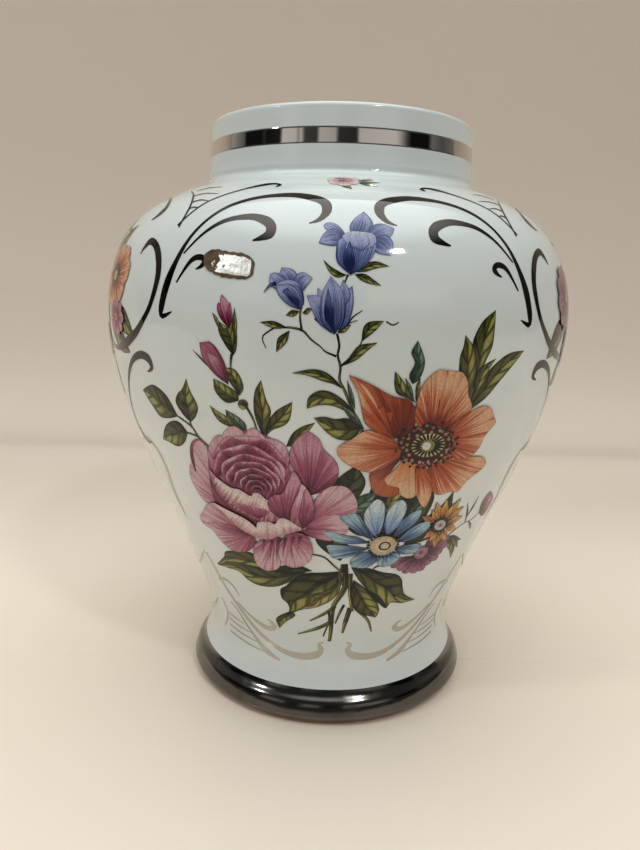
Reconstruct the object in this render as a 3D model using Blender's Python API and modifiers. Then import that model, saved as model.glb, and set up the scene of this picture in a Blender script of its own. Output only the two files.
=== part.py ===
"""Flower vase: a turned porcelain shell with everything that is applied to its glaze.

Metres, +Z up. The origin is the centre of the face that the foot rests on. The main
bouquet faces -Y. Angles around the vase are in degrees, from the middle of the front
(-Y) towards +X.
"""
import math

import bmesh
import bpy
from mathutils import Vector, geometry

MM = 0.001

# Driving dimensions, in millimetres as everywhere below until a mesh is made
HEIGHT = 280
WALL = 4.5
FLOOR_TOP = 11
FLOOR_FILLET = 7
FOOT_FACE_RADIUS = 72.6
FOOT_RING_WIDTH = 9
RECESS_DEPTH = 3.5
RECESS_SLOPE = 2
FOOT_BAND_BOTTOM = 2.8
FOOT_BAND_TOP = 14.1
NECK_BAND_BOTTOM = 263
NECK_BAND_TOP = 269.8
FILM_GAP = 0.2
FILM_THICKNESS = 0.2
MERGE = 0.01

# The outer profile's stations, (radius, height), from the foot's edge to the lip
FOOT_STATIONS = [(74.6, FOOT_BAND_BOTTOM), (72.6, 8.5), (68.6, FOOT_BAND_TOP)]
BODY_STATIONS = [
    (65.2, 28), (69.0, 46), (79.5, 75.6), (96.2, 115), (109.4, 154), (114.5, 191),
    (109.5, 218), (98.0, 235), (81.5, 245), (67.6, 250.8),
]
NECK_STATIONS = [
    (65.4, 255.5), (64.8, NECK_BAND_BOTTOM), (64.4, NECK_BAND_TOP), (64.0, HEIGHT - WALL / 2),
]

# Facets around the whole vase, and spans of the profile between two stations
SIDES = 48
SPANS = 2
SIDE_ANGLE = 360 / SIDES

# The foil label
LABEL_WIDTH = 19
LABEL_HEIGHT = 9
LABEL_ANGLE = -22.6
LABEL_CENTRE_HEIGHT = 213
LABEL_TILT = -9
LABEL_GAP = 0.35

# Where the transfers lie: windows of (first angle, last angle, low height, high height)
BOUQUET_WINDOWS = [(-7.5, 7.5, 36, 47), (-37.5, 37.5, 47, 199), (-15, 15, 199, 227)]
POSY_WINDOWS = [(-22.5, 22.5, 183, 228)]
SPRIG_WINDOWS = [(-7.5, 7.5, 243, 250)]
SHOULDER_SCROLL_WINDOWS = [(45, 60, 183, 247), (7.5, 45, 232, 243)]
FOOT_SCROLL_WINDOWS = [(45, 60, 22, 176), (15, 45, 22, 34)]

GLAZE_WHITE = (0.80, 0.83, 0.81, 1)
PLATINUM_GREY = (0.42, 0.41, 0.40, 1)
FOIL_GOLD = (0.62, 0.48, 0.27, 1)
ROSE_PINK = (0.62, 0.25, 0.36, 1)
POSY_ORANGE = (0.72, 0.30, 0.16, 1)
SCROLL_GREY = (0.30, 0.30, 0.30, 1)


def smooth_curve(stations):
    """Points of a smooth curve that passes through every station."""
    knots = [Vector(station) for station in stations]
    ends = [knots[0]] + knots + [knots[-1]]
    points = [knots[0]]
    for before, start, end, after in zip(ends, ends[1:], ends[2:], ends[3:]):
        leave = start + (end - before) / 6
        arrive = end - (after - start) / 6
        points += geometry.interpolate_bezier(start, leave, arrive, end, SPANS + 1)[1:]
    return points


def offset(points, distance):
    """The profile moved outwards by a distance, square to itself."""
    moved = []
    for index, point in enumerate(points):
        before = points[max(index - 1, 0)]
        after = points[min(index + 1, len(points) - 1)]
        along = (after - before).normalized()
        moved.append(point + distance * Vector((along.y, -along.x)))
    return moved


OUTER = smooth_curve(FOOT_STATIONS + BODY_STATIONS + NECK_STATIONS)


def radius_at(height):
    """Outer radius of the vase's shell at a height."""
    for low, high in zip(OUTER, OUTER[1:]):
        if low.y <= height <= high.y:
            share = (height - low.y) / (high.y - low.y)
            return low.x + share * (high.x - low.x)
    return OUTER[-1].x


def material(name, colour, roughness, metallic=0.0):
    """A Principled material in the part's own colour."""
    made = bpy.data.materials.new(name)
    made.use_nodes = True
    shader = made.node_tree.nodes["Principled BSDF"]
    shader.inputs["Base Color"].default_value = colour
    shader.inputs["Roughness"].default_value = roughness
    shader.inputs["Metallic"].default_value = metallic
    return made


def add_object(name, mesh, colour, roughness, metallic=0.0):
    """Put a mesh in the vase's collection as a named object with its own material."""
    made = bpy.data.objects.new(name, mesh)
    mesh.materials.append(material(name + "_finish", colour, roughness, metallic))
    vase.objects.link(made)
    return made


def profile_mesh(name, points, closed=False):
    """Edges along a profile in the XZ plane, ready for a Screw modifier."""
    mesh = bpy.data.meshes.new(name)
    edges = [(index, index + 1) for index in range(len(points) - 1)]
    if closed:
        edges.append((len(points) - 1, 0))
    mesh.from_pydata([(point.x * MM, 0, point.y * MM) for point in points], edges, [])
    return mesh


def turn(made):
    """Turn an object's profile once around Z."""
    screw = made.modifiers.new("turn", 'SCREW')
    screw.axis = 'Z'
    screw.angle = math.tau
    screw.steps = SIDES
    screw.render_steps = SIDES
    screw.use_merge_vertices = True
    screw.merge_threshold = MERGE * MM
    screw.use_smooth_shade = True


def shell_profile():
    """The shell's closed section, from the inner floor over the lip to the recess."""
    inner = [point for point in offset(OUTER, -WALL) if point.y > FLOOR_TOP + FLOOR_FILLET]
    corner = Vector((inner[0].x - FLOOR_FILLET, FLOOR_TOP))
    floor = [Vector((0, FLOOR_TOP)), corner]
    for angle in (30, 60):
        across = FLOOR_FILLET * math.sin(math.radians(angle))
        up = FLOOR_FILLET * (1 - math.cos(math.radians(angle)))
        floor.append(corner + Vector((across, up)))
    lip_centre = (inner[-1] + OUTER[-1]) / 2
    lip_radius = (OUTER[-1] - inner[-1]).length / 2
    lip = []
    for angle in (150, 120, 90, 60, 30):
        turned = math.radians(angle)
        lip.append(lip_centre + lip_radius * Vector((math.cos(turned), math.sin(turned))))
    ring_inside = FOOT_FACE_RADIUS - FOOT_RING_WIDTH
    foot = [
        Vector((FOOT_FACE_RADIUS, 0)),
        Vector((ring_inside, 0)),
        Vector((ring_inside - RECESS_SLOPE, RECESS_DEPTH)),
        Vector((0, RECESS_DEPTH)),
    ]
    return floor + inner + lip + OUTER[::-1] + foot


def make_body():
    """The porcelain shell, hollow and open at the mouth, with a recessed foot."""
    body = add_object("vase_body", profile_mesh("vase_body", shell_profile()), GLAZE_WHITE, 0.12)
    turn(body)


def make_band(name, low, high):
    """A metallic lustre film that runs once around the vase."""
    covered = [point for point in OUTER if low - MERGE < point.y < high + MERGE]
    near = offset(covered, FILM_GAP)
    far = offset(covered, FILM_GAP + FILM_THICKNESS)
    mesh = profile_mesh(name, far[::-1] + near, closed=True)
    turn(add_object(name, mesh, PLATINUM_GREY, 0.15, 1.0))


def in_windows(point, windows, turned, mirrored):
    """Whether a mesh point lies in one of the windows, once they are placed on the vase."""
    angle = (math.degrees(math.atan2(point.x, -point.y)) - turned + 180) % 360 - 180
    if mirrored:
        angle = -angle
    height = point.z / MM
    return any(
        first < angle < last and low < height < high for first, last, low, high in windows
    )


def make_transfer(name, windows, colour, turned=0.0, mirrored=False):
    """A transfer film: the glaze's own facets in the windows, lifted and thickened."""
    skin = bmesh.new()
    rows = [[] for point in OUTER]
    for column in range(SIDES):
        angle = math.radians(column * SIDE_ANGLE)
        for row, point in zip(rows, offset(OUTER, FILM_GAP)):
            place = Vector((point.x * math.cos(angle), point.x * math.sin(angle), point.y))
            row.append(skin.verts.new(place * MM))
    for low, high in zip(rows, rows[1:]):
        for column in range(SIDES):
            beside = (column + 1) % SIDES
            skin.faces.new((low[column], low[beside], high[beside], high[column]))
    outside = [
        face for face in skin.faces
        if not in_windows(face.calc_center_median(), windows, turned, mirrored)
    ]
    bmesh.ops.delete(skin, geom=outside, context='FACES')
    mesh = bpy.data.meshes.new(name)
    skin.to_mesh(mesh)
    skin.free()
    film = add_object(name, mesh, colour, 0.2)
    thicken(film, FILM_THICKNESS)


def thicken(made, thickness):
    """Thicken an open skin outwards."""
    solid = made.modifiers.new("thickness", 'SOLIDIFY')
    solid.thickness = thickness * MM
    solid.offset = 1
    solid.use_even_offset = True


def make_label():
    """The small foil label, bent round the shoulder and stuck on at a slant."""
    columns = 8
    rows = 4
    tilt = math.radians(LABEL_TILT)
    skin = bmesh.new()
    bmesh.ops.create_grid(skin, x_segments=columns, y_segments=rows, size=0.5)
    for vert in skin.verts:
        across = vert.co.x * LABEL_WIDTH
        up = vert.co.y * LABEL_HEIGHT
        level = across * math.cos(tilt) - up * math.sin(tilt)
        rise = across * math.sin(tilt) + up * math.cos(tilt)
        height = LABEL_CENTRE_HEIGHT + rise
        radius = radius_at(height) + LABEL_GAP
        turned = math.radians(LABEL_ANGLE) + level / radius
        vert.co = Vector((radius * math.sin(turned), -radius * math.cos(turned), height)) * MM
    mesh = bpy.data.meshes.new("foil_label")
    skin.to_mesh(mesh)
    skin.free()
    thicken(add_object("foil_label", mesh, FOIL_GOLD, 0.3, 1.0), FILM_THICKNESS)


def make_transfers():
    """Every printed transfer, placed round the vase panel by panel."""
    for panel, turned in (("front", 0), ("back", 180)):
        make_transfer(panel + "_bouquet_transfer", BOUQUET_WINDOWS, ROSE_PINK, turned)
        make_transfer(panel + "_sprig_transfer", SPRIG_WINDOWS, ROSE_PINK, turned)
        for side, mirrored in (("right", False), ("left", True)):
            corner = panel + "_" + side
            make_transfer(
                corner + "_shoulder_scroll", SHOULDER_SCROLL_WINDOWS, SCROLL_GREY, turned, mirrored
            )
            make_transfer(
                corner + "_foot_scroll", FOOT_SCROLL_WINDOWS, SCROLL_GREY, turned, mirrored
            )
    for side, turned in (("right", 90), ("left", -90)):
        make_transfer(side + "_posy_transfer", POSY_WINDOWS, POSY_ORANGE, turned)


for old in list(bpy.data.objects):
    bpy.data.objects.remove(old)
vase = bpy.data.collections.new("flower_vase")
bpy.context.scene.collection.children.link(vase)

make_body()
make_band("neck_band", NECK_BAND_BOTTOM, NECK_BAND_TOP)
make_band("foot_band", FOOT_BAND_BOTTOM, FOOT_BAND_TOP)
make_transfers()
make_label()
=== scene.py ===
"""Looks of the flower vase: fine porcelain, platinum bands, printed flowers and scrolls.

Sizes are in millimetres until a mesh is made. A place on the vase is (x, y): x runs along
the parallel from the middle of a panel, y runs up the outer profile from the foot's edge.
"""
import math

import bpy
import numpy as np
from mathutils import Matrix, Vector


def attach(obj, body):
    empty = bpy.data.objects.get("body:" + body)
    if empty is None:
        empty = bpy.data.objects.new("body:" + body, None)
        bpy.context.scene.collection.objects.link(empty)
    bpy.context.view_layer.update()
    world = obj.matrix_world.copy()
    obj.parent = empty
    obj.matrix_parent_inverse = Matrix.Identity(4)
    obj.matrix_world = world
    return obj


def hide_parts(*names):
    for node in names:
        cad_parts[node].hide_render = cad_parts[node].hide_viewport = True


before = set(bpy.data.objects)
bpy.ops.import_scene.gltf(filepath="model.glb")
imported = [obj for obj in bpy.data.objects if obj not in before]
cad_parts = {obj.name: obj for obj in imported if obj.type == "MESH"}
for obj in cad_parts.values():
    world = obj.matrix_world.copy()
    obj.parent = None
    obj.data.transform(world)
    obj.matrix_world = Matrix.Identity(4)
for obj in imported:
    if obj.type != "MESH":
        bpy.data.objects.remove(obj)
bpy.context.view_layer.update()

MM = 0.001

# The shell's section, as in the CAD: (radius, height) stations from the foot to the lip
WALL = 4.5
FLOOR_TOP = 11
FLOOR_FILLET = 7
HEIGHT = 280
FOOT_FACE_RADIUS = 72.6
FOOT_RING_WIDTH = 9
RECESS_DEPTH = 3.5
FOOT_BAND_BOTTOM = 2.8
FOOT_BAND_TOP = 14.1
NECK_BAND_BOTTOM = 263
NECK_BAND_TOP = 269.8
STATIONS = [
    (74.6, FOOT_BAND_BOTTOM), (72.6, 8.5), (68.6, FOOT_BAND_TOP), (65.2, 28), (69.0, 46),
    (79.5, 75.6), (96.2, 115), (109.4, 154), (114.5, 191), (109.5, 218), (98.0, 235),
    (81.5, 245), (67.6, 250.8), (65.4, 255.5), (64.8, NECK_BAND_BOTTOM),
    (64.4, NECK_BAND_TOP), (64.0, HEIGHT - WALL / 2),
]
SIDES = 288
SPANS = 14

# Printed films: how far the first stands off the glaze and each next one above it, the
# points drawn between two stations, the size and greatest number of the mesh cells, how wide
# a petal's streaks fan out (radians), and how the streaks change from patch to patch
FILM_LIFT = 0.05
LAYER = 0.008
CURVE_SPANS, STROKE_SPANS = 8, 10
CELL = 1.3
LINE_CELLS = 60
WIDTH_CELLS = 12
FAN_SPREAD = 0.8
SEED_STEP, SEED_WRAP = 1.7, 6.28


def flow(stations, spans):
    """Points of a smooth curve through every station."""
    knots = np.array(stations, float)
    ends = np.vstack([knots[:1], knots, knots[-1:]])
    t = np.linspace(0, 1, spans + 1)[1:, None]
    points = [knots[:1]]
    for before, start, end, after in zip(ends, ends[1:], ends[2:], ends[3:]):
        leave = start + (end - before) / 6
        arrive = end - (after - start) / 6
        points.append(
            (1 - t) ** 3 * start + 3 * (1 - t) ** 2 * t * leave
            + 3 * (1 - t) * t ** 2 * arrive + t ** 3 * end
        )
    return np.vstack(points)


def lengths(points):
    """Distance along a line of points, from its start."""
    steps = np.hypot(*np.diff(points, axis=0).T)
    return np.concatenate([[0], np.cumsum(steps)])


def resample(points, count):
    """The same curve with evenly spaced points."""
    along = lengths(points)
    even = np.linspace(0, along[-1], count)
    return np.stack([np.interp(even, along, points[:, axis]) for axis in (0, 1)], -1)


def outward(points):
    """Unit normals of a profile, pointing away from the axis."""
    along = np.gradient(points, axis=0)
    along /= np.linalg.norm(along, axis=1)[:, None]
    return np.stack([along[:, 1], -along[:, 0]], -1)


OUTER = flow(STATIONS, SPANS)
ARC = lengths(OUTER)
NORMALS = outward(OUTER)


def arc_at(height):
    """Distance up the profile of a height on it."""
    return float(np.interp(height, OUTER[:, 1], ARC))


def on_vase(x, y, lift, turn):
    """Points in metres for places on the unrolled glaze, lifted off it."""
    radius = np.interp(y, ARC, OUTER[:, 0])
    height = np.interp(y, ARC, OUTER[:, 1])
    out = np.interp(y, ARC, NORMALS[:, 0])
    up = np.interp(y, ARC, NORMALS[:, 1])
    angle = x / radius + math.radians(turn)
    radius = radius + lift * out
    height = height + lift * up
    return np.stack([radius * np.sin(angle), -radius * np.cos(angle), height], -1) * MM


# Materials -------------------------------------------------------------------------------

class Nodes:
    """A short way to write a node tree."""

    def __init__(self, tree):
        self.tree = tree

    def put(self, socket, value):
        if isinstance(value, bpy.types.NodeSocket):
            self.tree.links.new(value, socket)
        elif value is not None:
            socket.default_value = value

    def fill(self, sockets, *values):
        for socket, value in zip(sockets, values):
            self.put(socket, value)

    def add(self, kind, **settings):
        node = self.tree.nodes.new(kind)
        for key, value in settings.items():
            setattr(node, key, value)
        return node

    def math(self, operation, first, second=None):
        node = self.add("ShaderNodeMath", operation=operation)
        self.fill(node.inputs, first, second)
        return node.outputs[0]

    def times(self, first, second):
        return self.math("MULTIPLY", first, second)

    def less(self, first, second):
        return self.math("SUBTRACT", first, second)

    def line(self, value, gain, base):
        """value * gain + base"""
        node = self.add("ShaderNodeMath", operation="MULTIPLY_ADD")
        self.fill(node.inputs, value, gain, base)
        return node.outputs[0]

    def step(self, value, low, high, shape="SMOOTHSTEP"):
        """0 below low, 1 above high, smooth between; falling when low is above high."""
        node = self.add("ShaderNodeMapRange", interpolation_type=shape)
        self.fill(node.inputs, value, low, high)
        return node.outputs[0]

    def mix(self, factor, first, second, blend="MIX"):
        node = self.add("ShaderNodeMix", data_type="RGBA", blend_type=blend)
        self.fill([node.inputs[index] for index in (0, 6, 7)], factor, first, second)
        return node.outputs[2]

    def parts(self, vector):
        node = self.add("ShaderNodeSeparateXYZ")
        self.put(node.inputs[0], vector)
        return node.outputs


class Finish(Nodes):
    """A surface material under construction."""

    def __init__(self, name):
        self.material = bpy.data.materials.new(name)
        self.material.use_nodes = True
        super().__init__(self.material.node_tree)
        self.shader = self.tree.nodes["Principled BSDF"]

    def coordinates(self):
        """The shaded point's own place in metres."""
        return self.add("ShaderNodeTexCoord").outputs["Object"]

    def noise(self, scale, detail=2.0, stretch=None, place=None):
        place = place or self.coordinates()
        if stretch:
            mapping = self.add("ShaderNodeMapping")
            self.put(mapping.inputs["Vector"], place)
            self.put(mapping.inputs["Scale"], stretch)
            place = mapping.outputs[0]
        node = self.add("ShaderNodeTexNoise")
        self.put(node.inputs["Vector"], place)
        self.put(node.inputs["Scale"], scale)
        self.put(node.inputs["Detail"], detail)
        return node.outputs["Fac"]

    def brush_noise(self, across, along, seed):
        """Streaks laid down by a brush: fine across it, long along it."""
        place = self.add("ShaderNodeCombineXYZ")
        self.fill(place.inputs, across, along, seed)
        return self.noise(1.0, place=place.outputs[0])

    def attribute(self, name, output):
        return self.add("ShaderNodeAttribute", attribute_name=name).outputs[output]

    def bump(self, height, distance, strength):
        node = self.add("ShaderNodeBump")
        self.put(node.inputs["Height"], height)
        self.put(node.inputs["Distance"], distance)
        self.put(node.inputs["Strength"], strength)
        self.put(self.shader.inputs["Normal"], node.outputs[0])

    def finish(self, colour, roughness, metallic=0.0, coat=None):
        sockets = self.shader.inputs
        self.put(sockets["Base Color"], colour)
        self.put(sockets["Roughness"], roughness)
        self.put(sockets["Metallic"], metallic)
        if coat is not None:
            self.put(sockets["Coat Weight"], coat)
            self.put(sockets["Coat Roughness"], 0.04)
        return self.material


def porcelain():
    """Cool white glaze: faint clouding, a few kiln specks, a barely uneven surface."""
    n = Finish("white_glaze")
    cloud = n.noise(14, 3)
    white = n.mix(cloud, (0.755, 0.80, 0.785, 1), (0.82, 0.86, 0.84, 1))
    speck = n.step(n.noise(900, 1), 0.80, 0.84)
    white = n.mix(n.times(speck, 0.35), white, (0.30, 0.27, 0.22, 1))
    n.bump(n.noise(38, 2), 0.00012, 0.5)
    roughness = n.step(n.noise(60, 3), 0.0, 1.0)
    rough = n.line(roughness, 0.03, 0.03)
    return n.finish(white, rough, coat=0.35)


def bisque():
    """Unglazed foot ring: matt, warm and finely grained."""
    n = Finish("unglazed_foot")
    grain = n.noise(420, 4)
    colour = n.mix(grain, (0.52, 0.43, 0.34, 1), (0.70, 0.62, 0.52, 1))
    n.bump(n.noise(900, 3), 0.0002, 0.6)
    return n.finish(colour, n.line(grain, 0.2, 0.65))


# The lustre is burnt brown below these heights in metres, from clear to full
BURNT_EDGE = (0.0034, 0.0014)


def platinum(name, bright, warm, wear, metallic=1.0, matt=0.02, ripple=0.0001):
    """Fired platinum lustre: a mirror with fine rubbing and worn, warmer patches."""
    n = Finish(name)
    patches = n.step(n.noise(55, 5), 0.62 - wear, 0.80)
    metal = n.mix(n.noise(18, 3), bright, tuple(0.8 * value for value in bright[:3]) + (1,))
    colour = n.mix(n.times(patches, 0.7), metal, warm)
    rubbing = n.noise(260, 4, (1, 1, 7))
    fine = n.line(rubbing, 0.06, matt)
    rough = n.line(patches, 0.16, fine)
    if metallic == 1.0:
        height = n.parts(n.coordinates())[2]
        burnt = n.step(n.line(n.noise(90, 3), 0.0012, height), *BURNT_EDGE)
        colour = n.mix(burnt, colour, (0.16, 0.055, 0.035, 1))
    n.bump(n.noise(48, 3), ripple, 0.5)
    return n.finish(colour, rough, metallic)


def enamel(name, veins=False):
    """Printed enamel: brush tones from base to tip, fine hatching and a darker outline.

    place holds (along 0..1, across -1..1, distance to the edge in mm) and brush holds
    (hatch lines, hatch strength, seed). deep, body and pale are the print's three inks.
    """
    n = Finish(name)
    along, across, rim = n.parts(n.attribute("place", "Vector"))
    lines, strength, seed = n.parts(n.attribute("brush", "Vector"))
    deep, body, pale = [n.attribute(ink, "Color") for ink in ("deep", "body", "pale")]
    drift = n.less(n.noise(130, 3), 0.5)
    fleck = n.less(n.noise(900, 2), 0.5)
    side = n.math("ABSOLUTE", across)
    if veins:
        slant = n.line(side, -0.22, along)
        phase = n.times(n.line(drift, 0.10, slant), n.times(lines, 1.5))
        vein = n.math("SINE", n.line(phase, math.pi, seed))
        grain = n.brush_noise(n.times(across, 4), n.times(along, 5), seed)
        half = n.step(n.line(drift, 0.5, across), -0.14, 0.14)
        hollow = n.less(side, 0.42)
        bulge = n.less(1.0, n.times(n.times(hollow, hollow), 2.4))
        ribs = n.line(n.step(vein, 0.1, 0.9), -0.42, 1.0)
        lit = n.times(n.times(bulge, ribs), n.line(half, 0.62, 0.42))
        grown = n.times(lit, n.line(n.step(along, 0.0, 0.6), 0.80, 0.25))
        tone = n.math("ADD", grown, n.times(n.less(grain, 0.5), 0.5))
        hatch = n.times(n.step(vein, 0.80, 1.0), n.times(strength, 0.5))
    else:
        grain = n.brush_noise(n.times(across, lines), n.times(along, 0.8), seed)
        hair = n.brush_noise(n.times(across, n.times(lines, 3.6)), along, seed)
        streak = n.line(hair, 0.6, n.times(grain, 0.6))
        dip = n.line(n.step(along, 0.72, 1.05), -0.50, n.times(along, 1.35))
        swing = n.times(n.less(streak, 0.6), n.line(strength, 2.2, 0.6))
        tone = n.line(drift, 0.25, n.math("ADD", dip, swing))
        hatch = n.times(n.step(hair, 0.47, 0.36), n.times(strength, n.step(along, 0.8, 0.2)))
    colour = n.mix(n.step(tone, 0.06, 0.50), deep, body)
    colour = n.mix(n.step(tone, 0.55, 1.08), colour, pale)
    colour = n.mix(hatch, colour, deep)
    ink = n.mix(0.45, deep, (0.01, 0.008, 0.01, 1))
    if veins:
        rib = n.step(n.math("ABSOLUTE", n.line(drift, 0.15, across)), 0.10, 0.03)
        colour = n.mix(n.times(rib, 0.7), colour, ink)
    edge = n.step(n.line(drift, 0.55, rim), 0.42, 0.10)
    colour = n.mix(n.times(edge, 0.75), colour, ink)
    colour = n.mix(1.0, colour, n.line(n.step(fleck, -0.3, 0.3), 0.3, 0.85), "MULTIPLY")
    n.bump(grain, 0.00003, 0.3)
    rough = n.line(n.noise(300, 2), 0.05, 0.05)
    n.put(n.shader.inputs["Specular IOR Level"], 0.28)
    return n.finish(colour, rough)


PETAL = enamel("petal_enamel")
LEAF = enamel("leaf_enamel", veins=True)
GLAZE = porcelain()
FOOT_BISQUE = bisque()
BAND_METAL = platinum("platinum_band", (0.86, 0.82, 0.77, 1), (0.42, 0.30, 0.21, 1), 0.0)
# The foot band's platinum is painted far darker than the neck band's: a painted dark reflection of
# the dim room in front. Its worn patches are partly real wear and partly painted cloudy reflection.
FOOT_METAL_PAINTED_DARK = platinum("platinum_foot", (0.18, 0.168, 0.155, 1), (0.09, 0.065, 0.05, 1), 0.10,
                      matt=0.09, ripple=0.0004)
# The shoulder scrolls' platinum is painted near black: a painted dark reflection of the room around
# the vase.
SCROLL_METAL_PAINTED_DARK = platinum("platinum_scroll", (0.075, 0.068, 0.06, 1), (0.09, 0.06, 0.042, 1), 0.05)
# The foot scrolls' platinum is painted pale and half metallic: a painted reflection of the bright
# floor.
SCROLL_METAL_PAINTED_PALE = platinum("pale_scroll_lustre_painted_floor_reflection", (0.60, 0.55, 0.47, 1), (0.50, 0.43, 0.34, 1), 0.10,
                       0.45)


# Inks: (deep, body, pale), linear colours ---------------------------------------------------

ROSE = ((0.075, 0.006, 0.022), (0.31, 0.065, 0.13), (0.56, 0.28, 0.34))
ROSE_PALE = ((0.17, 0.022, 0.060), (0.45, 0.150, 0.215), (0.65, 0.44, 0.47))
ROSE_LIP = ((0.19, 0.03, 0.07), (0.55, 0.28, 0.32), (0.76, 0.65, 0.62))
ROSE_DARK = ((0.04, 0.003, 0.012), (0.17, 0.02, 0.055), (0.40, 0.12, 0.19))
POPPY = ((0.16, 0.014, 0.005), (0.46, 0.088, 0.028), (0.74, 0.42, 0.24))
POPPY_PALE = ((0.50, 0.12, 0.04), (0.66, 0.30, 0.14), (0.68, 0.48, 0.30))
POPPY_DARK = ((0.06, 0.005, 0.003), (0.20, 0.022, 0.009), (0.46, 0.11, 0.04))
BLUE = ((0.014, 0.025, 0.075), (0.095, 0.18, 0.32), (0.36, 0.52, 0.58))
BLUE_PALE = ((0.08, 0.12, 0.34), (0.28, 0.42, 0.58), (0.62, 0.72, 0.72))
YELLOW = ((0.15, 0.04, 0.008), (0.52, 0.22, 0.04), (0.66, 0.42, 0.13))
MAUVE = ((0.035, 0.005, 0.018), (0.160, 0.050, 0.090), (0.36, 0.16, 0.22))
VIOLET = ((0.010, 0.016, 0.066), (0.100, 0.132, 0.300), (0.36, 0.385, 0.60))
CREAM = ((0.30, 0.17, 0.07), (0.55, 0.40, 0.22), (0.66, 0.58, 0.42))
BLACK = ((0.006, 0.004, 0.004), (0.012, 0.008, 0.008), (0.03, 0.02, 0.02))
GREEN = ((0.005, 0.006, 0.003), (0.092, 0.092, 0.024), (0.34, 0.315, 0.085))
OLIVE = ((0.02, 0.02, 0.007), (0.17, 0.15, 0.04), (0.46, 0.38, 0.13))
TEAL = ((0.012, 0.026, 0.020), (0.05, 0.10, 0.07), (0.19, 0.25, 0.16))


# Prints ----------------------------------------------------------------------------------

class Print:
    """One printed motif: patches of enamel laid over each other in one mesh."""

    def __init__(self, name, turn, shift=0.0, mirrored=False, level=0.0, soft=True):
        self.name = name
        self.turn = turn
        self.shift = shift
        self.mirrored = mirrored
        self.level = level
        self.soft = soft
        self.layers = 0
        self.count = 0
        self.points = []
        self.faces = []
        self.marks = {"place": [], "brush": [], "deep": [], "body": [], "pale": []}

    def ruled(self, first, second, inks, lines, strength, crosswise=False, start=0.0, fan=None):
        """A patch ruled between two curves; tones run along them, or across if crosswise.

        lines and strength set its streaks, and start is the tone that it begins with. fan
        is the base and tip that a petal's streaks spread from.
        """
        first, second = np.array(first, float), np.array(second, float)
        long = max(lengths(first)[-1], lengths(second)[-1])
        wide = np.linalg.norm(resample(first, 24) - resample(second, 24), axis=1).max()
        rows = int(np.clip(long / CELL, 6, LINE_CELLS)) + 1
        columns = 2 * int(np.clip(wide / CELL / 2, 2, WIDTH_CELLS)) + 1
        first, second = resample(first, rows), resample(second, rows)
        share = np.linspace(0, 1, columns)
        flat = first[:, None] + (second - first)[:, None] * share[None, :, None]
        width = np.linalg.norm(second - first, axis=1)[:, None]
        from_side = np.minimum(share, 1 - share)[None] * width
        down = np.broadcast_to(np.linspace(0, 1, rows)[:, None], from_side.shape)
        from_end = (1 - down) * long
        across = np.broadcast_to(2 * share[None] - 1, from_side.shape)
        if fan:
            foot, axis = np.array(fan[0], float), np.subtract(fan[1], fan[0])
            away = flat - foot
            aside = axis[0] * away[..., 1] - axis[1] * away[..., 0]
            across = np.arctan2(aside, away @ axis) / FAN_SPREAD
            reach = np.linalg.norm(away, axis=-1)
            down = 0.5 * down + 0.5 * reach / reach.max()
        if crosswise:
            spread = np.broadcast_to(share[None], down.shape)
            place = np.stack([spread, 2 * down - 1, from_side], -1)
        else:
            place = np.stack([down, across, np.minimum(from_side, from_end)], -1)
        place[..., 0] = start + (1 - start) * place[..., 0]
        self.lay(flat, place, inks, lines, strength)

    def lay(self, flat, place, inks, lines, strength):
        """Add a grid of flat points to the mesh, one layer above the last."""
        x, y = flat[..., 0] + self.shift, flat[..., 1]
        if self.mirrored:
            x = -x
        self.layers += 1
        lift = FILM_LIFT + self.level + LAYER * self.layers
        rows, columns = x.shape
        self.points.append(on_vase(x.ravel(), y.ravel(), lift, self.turn))
        index = self.count + np.arange(rows * columns).reshape(rows, columns)
        corners = [index[:-1, :-1], index[:-1, 1:], index[1:, 1:], index[1:, :-1]]
        area = ((x[1:, 1:] - x[:-1, :-1]) * (y[1:, :-1] - y[:-1, 1:])
                - (x[1:, :-1] - x[:-1, 1:]) * (y[1:, 1:] - y[:-1, :-1])).sum()
        if area < 0:
            corners.reverse()
        self.faces.append(np.stack(corners, -1).reshape(-1, 4))
        total = rows * columns
        self.count += total
        self.marks["place"].append(place.reshape(-1, 3))
        brush = (lines, strength, SEED_STEP * self.layers % SEED_WRAP)
        self.marks["brush"].append(np.tile(brush, (total, 1)))
        for ink, colour in zip(("deep", "body", "pale"), inks):
            self.marks[ink].append(np.tile(tuple(colour) + (1.0,), (total, 1)))

    def petal(self, base, left, tip, right, inks, lines, strength):
        """A petal or leaf, its outline once round by base, left side, tip and right side."""
        if self.soft:
            loop = flow([base] + left + [tip] + right + [base], CURVE_SPANS)
            top = CURVE_SPANS * (len(left) + 1)
            first, second = loop[:top + 1], loop[top:][::-1]
            self.ruled(first, second, inks, lines, strength, fan=(base, tip))
        else:
            first = flow([base] + left + [tip], CURVE_SPANS)
            second = flow([base] + right[::-1] + [tip], CURVE_SPANS)
            self.ruled(first, second, inks, lines, strength)

    def petals(self, lines, strength, *rows):
        """Petals or leaves, each row giving inks, base, left side, tip and right side."""
        for inks, *outline in rows:
            self.petal(*outline, inks, lines, strength)

    def crest(self, low, high, inks, lines, strength, start):
        """A patch whose tones run from a low curve to a high one."""
        first, second = flow(low, CURVE_SPANS), flow(high, CURVE_SPANS)
        self.ruled(first, second, inks, lines, strength, True, start)

    def stroke(self, path, widths, inks):
        """A brush line of changing width along a smooth path."""
        line = flow(path, STROKE_SPANS)
        at = lengths(line)
        width = np.interp(at / at[-1], np.linspace(0, 1, len(widths)), widths)[:, None] / 2
        side = outward(line) * width
        self.ruled(line - side, line + side, inks, 2, 0.3)

    def strokes(self, inks, *rows):
        """Brush lines in the same inks, each row giving a path and its widths."""
        for path, widths in rows:
            self.stroke(path, widths, inks)

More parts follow.
